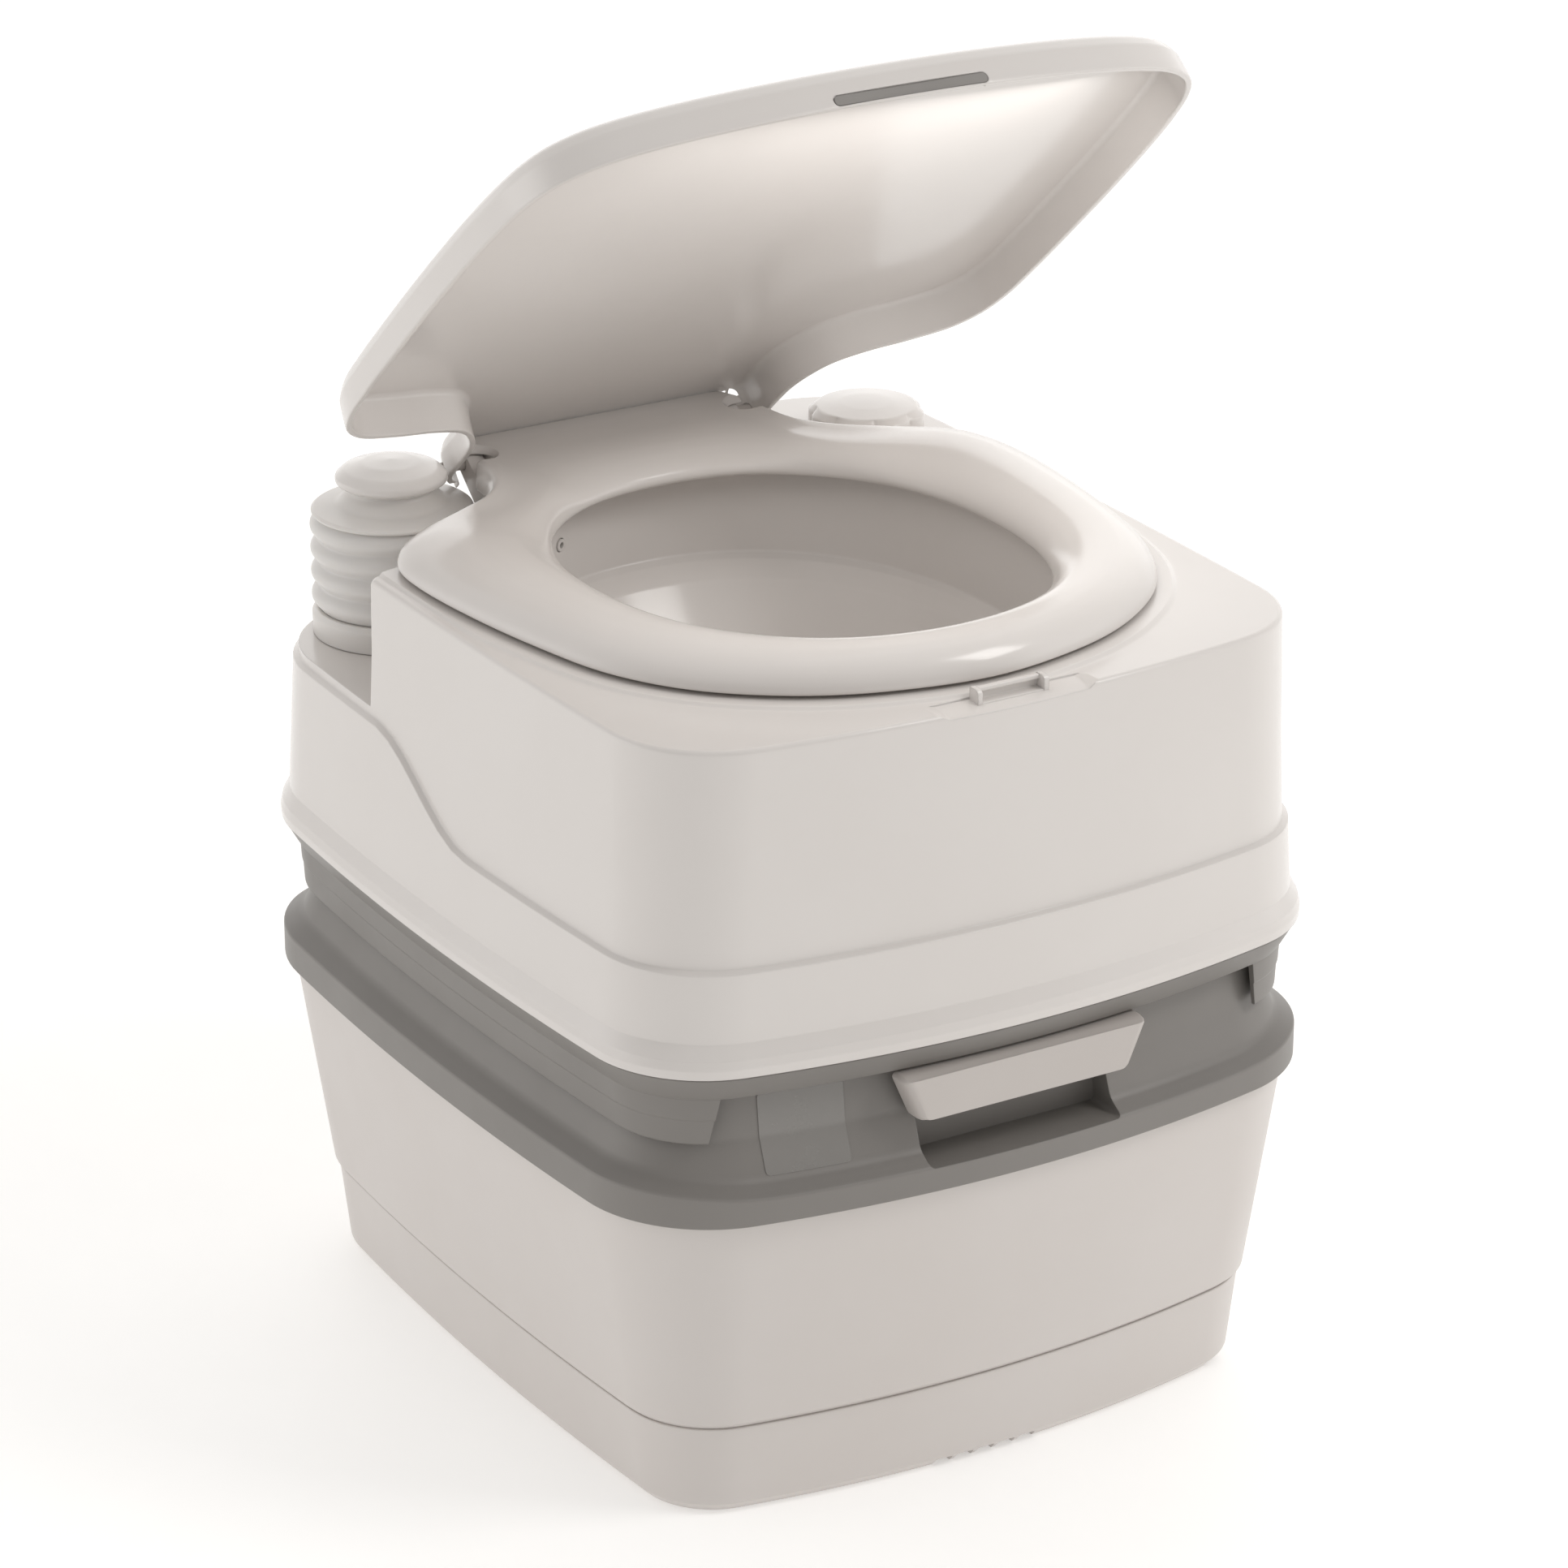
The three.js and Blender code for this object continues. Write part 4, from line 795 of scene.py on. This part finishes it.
# ---------------------------------------------------------------- pump and filler
def build_pump():
    x, y = PUMP
    base = filleted([(5, 302, 0), (9, 302, 0), (9, 324.3, 0), (40.2, 324.3, 0.5), (40.4, 334.5, 2),
                     (38.6, 337.5, 1), (36, 337.5, 0), (36, 328, 0), (5, 328, 0)], 4)
    place(turned("pump_base_skin", [tuple(p) for p in base], x, y), "upper_tank", "bellows_plastic",
          "pump_base")
    z0, z1, folds = 337.8, 385.2, 4
    outside = []
    for k in range(folds * 16 + 1):
        bulge = math.sqrt(math.sin(math.pi * k / 16) ** 2 + 0.02) - 0.14
        outside.append((36.9 + 4.0 * bulge, z0 + (z1 - z0) * k / (16 * folds)))
    inside = [(r - 1.3, z) for r, z in outside][::-1]
    bellows = place(turned("pump_bellows_skin", outside + inside, x, y), "upper_tank", "bellows_plastic",
                    "pump_bellows", angle=75)
    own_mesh(bellows)
    plate = filleted([(0, 385.5, 0), (39.0, 385.5, 0.6), (39.8, 386.8, 0.6), (38.2, 387.9, 1.2), (27, 390, 6),
                      (21.6, 396, 5), (21.2, 398, 0), (0, 398, 0)], 5)
    place(turned("pump_plate_skin", plate, x, y), "pump_head", "bellows_plastic", "pump_plate")
    knob = filleted([(0, 398.3, 0), (23, 398.3, 2), (27.4, 401, 1.6), (27.4, 403.6, 2.2), (23.5, 407.2, 7),
                     (14, 410.2, 14), (0, 411.4, 0)], 6)
    place(turned("pump_knob_skin", [tuple(p) for p in knob], x, y), "pump_head", "white_gloss", "pump_knob")


def build_filler():
    x, y = FILL
    neck = [(20, 372), (22.6, 372), (23, 372.6), (23, 388.3), (27.6, 388.3), (28, 388.8), (28, 389.5),
            (27.6, 389.9), (23, 389.9), (23, 397.2), (22.6, 397.7), (20.4, 397.7), (20, 397.2)]
    place(turned("fill_neck_skin", neck, x, y), "upper_tank", "white_gloss", "fill_neck")
    angles = np.arange(192) / 192 * 2 * math.pi
    wave = np.abs(np.cos(4 * angles)) ** 0.8
    profile = filleted([(23.6, 390.2, 0), (28.6, 390.2, 1), (29.6, 393, 1.5), (29.4, 400.5, 2),
                        (25.5, 403.6, 4), (13, 405, 3), (10, 405.2, 1)], 4)
    rings = []
    for r, z in profile:
        lobe = 2.4 * wave * float(ease(r, 24.5, 28)) - 2.4 * float(ease(r, 24.5, 28))
        rings.append(np.stack([x + (r + lobe) * np.cos(angles), y + (r + lobe) * np.sin(angles),
                               np.full(192, z)], 1))
    top = [np.stack([x + r * np.cos(angles), y + r * np.sin(angles), np.full(192, z)], 1)
           for r, z in ((4, 405.4), (0.05, 405.4))]
    room = [np.stack([x + r * np.cos(angles), y + r * np.sin(angles), np.full(192, z)], 1)
            for r, z in ((0.05, 401.6), (23.2, 401.6), (23.6, 401.2))]
    cap = loft("fill_cap_skin", room + rings + top)
    place(cap, "fill_cap", "white_gloss", "fill_cap", angle=40)


# ---------------------------------------------------------------- seat and lid
def build_seat():
    table = [(0.012, 391.3, 391.3), (-0.012, 393, 393), (-0.012, 396, 396), (0.02, 399.4, 399.2),
             (0.09, 403.2, 402.4), (0.19, 406.4, 404.9), (0.31, 408.4, 406.2), (0.44, 409, 406.6),
             (0.57, 408.6, 406.6), (0.70, 407, 406.9), (0.82, 404.3, 407.6), (0.91, 401, 408),
             (0.97, 397.4, 407), (0.998, 394.2, 403), (0.998, 391.9, 392.3), (0.975, 391.3, 391.3)]
    ring_curve = smooth([(s, z) for s, z, _ in table], 4, closed=False)
    neck_curve = smooth([(s, z) for s, _, z in table], 4, closed=False)
    outline = SEAT_OUTLINE
    angle = np.arctan2(outline[:, 1] - HOLE_Y, outline[:, 0])
    hole = (np.abs(np.cos(angle) / HOLE_RX) ** 2.2 + np.abs(np.sin(angle) / HOLE_RY) ** 2.2) ** (-1 / 2.2)
    hole = np.stack([hole * np.cos(angle), HOLE_Y + hole * np.sin(angle)], 1)
    neck = ease(np.sin(angle), 0.45, 0.8)

    def strip(share_ring, z_ring, share_neck, z_neck):
        share = (share_ring * (1 - neck) + share_neck * neck)[:, None]
        height = z_ring * (1 - neck) + z_neck * neck
        return np.column_stack([hole + (outline - hole) * share, height])

    rings = [strip(*a, *b) for a, b in zip(ring_curve, neck_curve)]
    seat = loft("seat_skin", rings, closed=True)
    under = [(0.1, 388), (0.14, 402), (0.3, 405.6), (0.5, 406), (0.7, 403.8), (0.84, 400.5), (0.91, 388)]
    hollow = loft("tool", [strip(s, z, s, z) for s, z in under], closed=True)
    cut(hollow, block("tool", -200, 200, 108, 220, 380, 420),
        *[turned("tool", [(0, 385), (9, 385), (9, 420), (0, 420)], bx, by, 48) for bx, by in BUMPERS])
    barrel = block("tool", -100, 100, HINGE_Y, 205, 380, 420)
    cut(barrel, rod("tool", 12.4, (-101, HINGE_Y, HINGE_Z), (101, HINGE_Y, HINGE_Z), 64))
    rooms = []
    for side in (-1, 1):
        xs = sorted((side * 66.5, side * 95))
        profile = filleted([(150, 380, 0), (150, 397, 5), (156, 403.6, 5), (205, 403.8, 0), (205, 380, 0)], 6)
        rooms.append(prism("tool", [tuple(p) for p in profile], *xs, "yz"))
    bores = [rod("tool", 3.2, (s * 50, HINGE_Y, HINGE_Z), (s * 90, HINGE_Y, HINGE_Z)) for s in (-1, 1)]
    seats = [turned("tool", [(0, 380), (6.3, 380), (6.3, 394), (0, 394)], bx, by, 48) for bx, by in BUMPERS]
    scallops = []
    for side in (-1, 1):
        ends = np.linspace(math.pi / 2, -math.pi / 2, 17)
        niche = [(76 - 9 * math.cos(a), 157 + 9 * math.sin(a)) for a in ends[::-1]] + [(98, 166), (98, 148)]
        plan = np.array([(side * x, y) for x, y in niche])
        grown = [at_height(plan + (plan - [side * 79, 157]) * g, z)
                 for g, z in ((0, 392), (0, 404.6), (0.05, 405.8), (0.16, 407), (0.4, 409))]
        scallops.append(loft("tool", grown))
    cut(seat, hollow, barrel, *rooms, *bores, *seats, *scallops)
    place(seat, "seat", "white_gloss", "seat", angle=36)
    for i, (bx, by) in enumerate(BUMPERS, 1):
        pad = filleted([(0, 390.8, 0), (5, 390.8, 1.5), (6, 393.7, 0.3), (0, 393.7, 0)], 4)
        place(turned(f"seat_bumper_{i}_skin", [tuple(p) for p in pad], bx, by, 48), "seat", "rubber_seal",
              f"seat_bumper_{i}")


LID_HALF = [(0, -208.5), (50, -207), (95, -202.5), (130, -195.5), (152, -186.5), (167, -173), (175, -156),
            (179.5, -134), (182.5, -105), (184.6, -60), (185.1, -15), (184.6, 30), (182.5, 59), (176.5, 77),
            (165, 89), (144, 96), (121, 100.5), (105, 107.5), (96.5, 118), (91.5, 131), (90.2, 147),
            (90, 165), (87.5, 172), (81, 179.5), (74, 187.5), (62, 191.5), (0, 191.5)]


def build_lid():
    outline = smooth(mirrored(LID_HALF), 7)
    outer = filleted([(1.5, 390.7, 0), (0, 390.7, 1.2), (0, 393, 0), (1.2, 404, 6), (5.2, 411.2, 9),
                      (13, 413.1, 0)], 8)
    inner = filleted([(11, 410.9, 0), (5.2, 410.6, 4.5), (3.3, 396, 0), (3.0, 390.7, 1.2),
                      (1.5, 390.7, 0)], 9)
    rows = [at_height(inset_outline(outline, inset), z) for inset, z in inner]
    rows += [at_height(inset_outline(outline, inset), z) for inset, z in outer[1:]]
    lid = loft("lid_skin", rows, fill_first=(14, lambda d: 0.0),
               fill_last=(14, lambda d: 0.85 * (1 - math.exp(-d / 30))))
    mouth = block("tool", -78.6, 78.6, 172, 205, 380, 411.2)
    knuckle = block("tool", -100, 100, HINGE_Y, 205, 380, 420)
    cut(knuckle, block("tool", -79.5, 79.5, 160, 210, 370, 430),
        rod("tool", 8.4, (-101, HINGE_Y, HINGE_Z), (101, HINGE_Y, HINGE_Z), 48))
    slot = filleted([(0, 391.4, 0), (-40, 391.4, 2.5), (-40, 397, 2.5), (40, 397, 2.5), (40, 391.4, 2.5),
                     (0, 391.4, 0)], 6)
    slot = [tuple(p) for p in slot[:-1]]
    cut(lid, mouth, knuckle, prism("tool", slot, -215, -200, "xz"),
        block("tool", -38, 38, -206.2, -200, 389, 393),
        rod("tool", 3.2, (-95, HINGE_Y, HINGE_Z), (95, HINGE_Y, HINGE_Z)))
    # A thin dark grey strip just behind the finger slot: painted shade that stands in for the shadowed pocket
    # behind the slot.
    slot_shade_strip = prism("lid_slot_painted_shade", inset_outline(slot, -0.3), -207.6, -206.4, "xz")
    pivot = Matrix.Translation((0, HINGE_Y, HINGE_Z))
    opened = pivot @ Matrix.Rotation(-math.radians(LID_OPEN_DEG), 4, "X") @ pivot.inverted()
    place(moved(slot_shade_strip, opened), "lid", "grey_plastic")
    return place(moved(lid, opened), "lid", "white_gloss", "lid", angle=40)


# ---------------------------------------------------------------- scene
build_tub()
build_tank_top()
build_vent_spring()
build_window()
build_handle()
build_upper_shell()
build_upper_base()
build_bowl()
build_nozzle()
build_striker()
build_pump()
build_filler()
build_seat()
build_lid()

slot_of = {entry["node"]: entry["material_slot"] for entry in frame["record"]["subparts"]}
for name, node in frame["nodes"].items():
    node.data.materials.clear()
    node.data.materials.append(LOOKS[slot_of[name]])

floor = mesh("floor", [(-9000, -9000, 0), (9000, -9000, 0), (9000, 9000, 0), (-9000, 9000, 0)],
             [(0, 1, 2, 3)])
paper = plastic("floor_paint", (0.86, 0.855, 0.845), (0.85, 0.845, 0.835), 0.6, 200)
paper.node_tree.nodes["Principled BSDF"].inputs["Emission Color"].default_value = (1.0, 0.995, 0.985, 1)
paper.node_tree.nodes["Principled BSDF"].inputs["Emission Strength"].default_value = 0.33
floor.data.materials.append(paper)

world = bpy.data.worlds.new("studio")
bpy.context.scene.world = world
world.use_nodes = True
sky = world.node_tree


def sky_math(operation, first, second):
    node = sky.nodes.new("ShaderNodeMath")
    node.operation = operation
    for socket, value in zip(node.inputs, (first, second)):
        if isinstance(value, float):
            socket.default_value = value
        else:
            sky.links.new(value, socket)
    return node.outputs[0]


# Broad soft lights round the object: side of the set, strength, and how narrow each one is.
SET_TURN = math.radians(31.04)
GLOWS = (("X", -1.0, 2.2, 7.0), ("X", 1.0, 1.9, 7.0), ("Y", -1.0, 0.4, 2.0), ("Y", 1.0, 1.5, 2.0),
         ("Z", 1.0, 0.75, 2.0))
coords = sky.nodes.new("ShaderNodeTexCoord")
turned_coords = sky.nodes.new("ShaderNodeMapping")
turned_coords.inputs["Rotation"].default_value = (0, 0, SET_TURN)
sky.links.new(coords.outputs["Generated"], turned_coords.inputs["Vector"])
axes = sky.nodes.new("ShaderNodeSeparateXYZ")
sky.links.new(turned_coords.outputs["Vector"], axes.inputs["Vector"])
glow = 0.03
for axis, sign, strength, narrow in GLOWS:
    facing = sky_math("MAXIMUM", sky_math("MULTIPLY", axes.outputs[axis], sign), 0.0)
    glow = sky_math("ADD", sky_math("MULTIPLY", sky_math("POWER", facing, narrow), strength), glow)
background = sky.nodes["Background"]
background.inputs["Color"].default_value = (1.0, 0.985, 0.97, 1)
sky.links.new(glow, background.inputs["Strength"])
bpy.context.scene.view_settings.view_transform = "Standard"


def lamp(name, spot, target, size, power):
    light = bpy.data.lights.new(name, "AREA")
    light.shape = "RECTANGLE"
    light.size, light.size_y = size
    light.energy = power
    light.color = (1.0, 0.985, 0.965)
    holder = bpy.data.objects.new(name, light)
    bpy.context.scene.collection.objects.link(holder)
    holder.location = spot
    holder.rotation_euler = (Vector(target) - Vector(spot)).to_track_quat("-Z", "Y").to_euler()
    return holder


lamp("rim_light", (1.5, -1.6, 2.5), (0, -0.1, 0.4), (1.0, 1.0), 20)
fill_light = lamp("seat_fill", (0.02, -0.12, 0.585), (0, 0.04, 0.37), (0.24, 0.1), 0.2)
fill_light.visible_camera = fill_light.visible_glossy = False

AZIMUTH, ELEVATION = math.radians(-31.04), math.radians(22.53)
AWAY = Vector((math.sin(AZIMUTH) * math.cos(ELEVATION), -math.cos(AZIMUTH) * math.cos(ELEVATION),
               math.sin(ELEVATION)))
RIGHT = Vector((math.cos(AZIMUTH), math.sin(AZIMUTH), 0))
UP = AWAY.cross(RIGHT)
camera = bpy.data.objects.new("camera", bpy.data.cameras.new("camera"))
bpy.context.scene.collection.objects.link(camera)
camera.data.lens = 129.06
camera.data.sensor_width = 36
camera.location = (RIGHT * 0.00376 + UP * 0.25132) + AWAY * 2.81077
camera.rotation_euler = AWAY.to_track_quat("Z", "Y").to_euler()
camera.data.clip_end = 60
bpy.context.scene.camera = camera
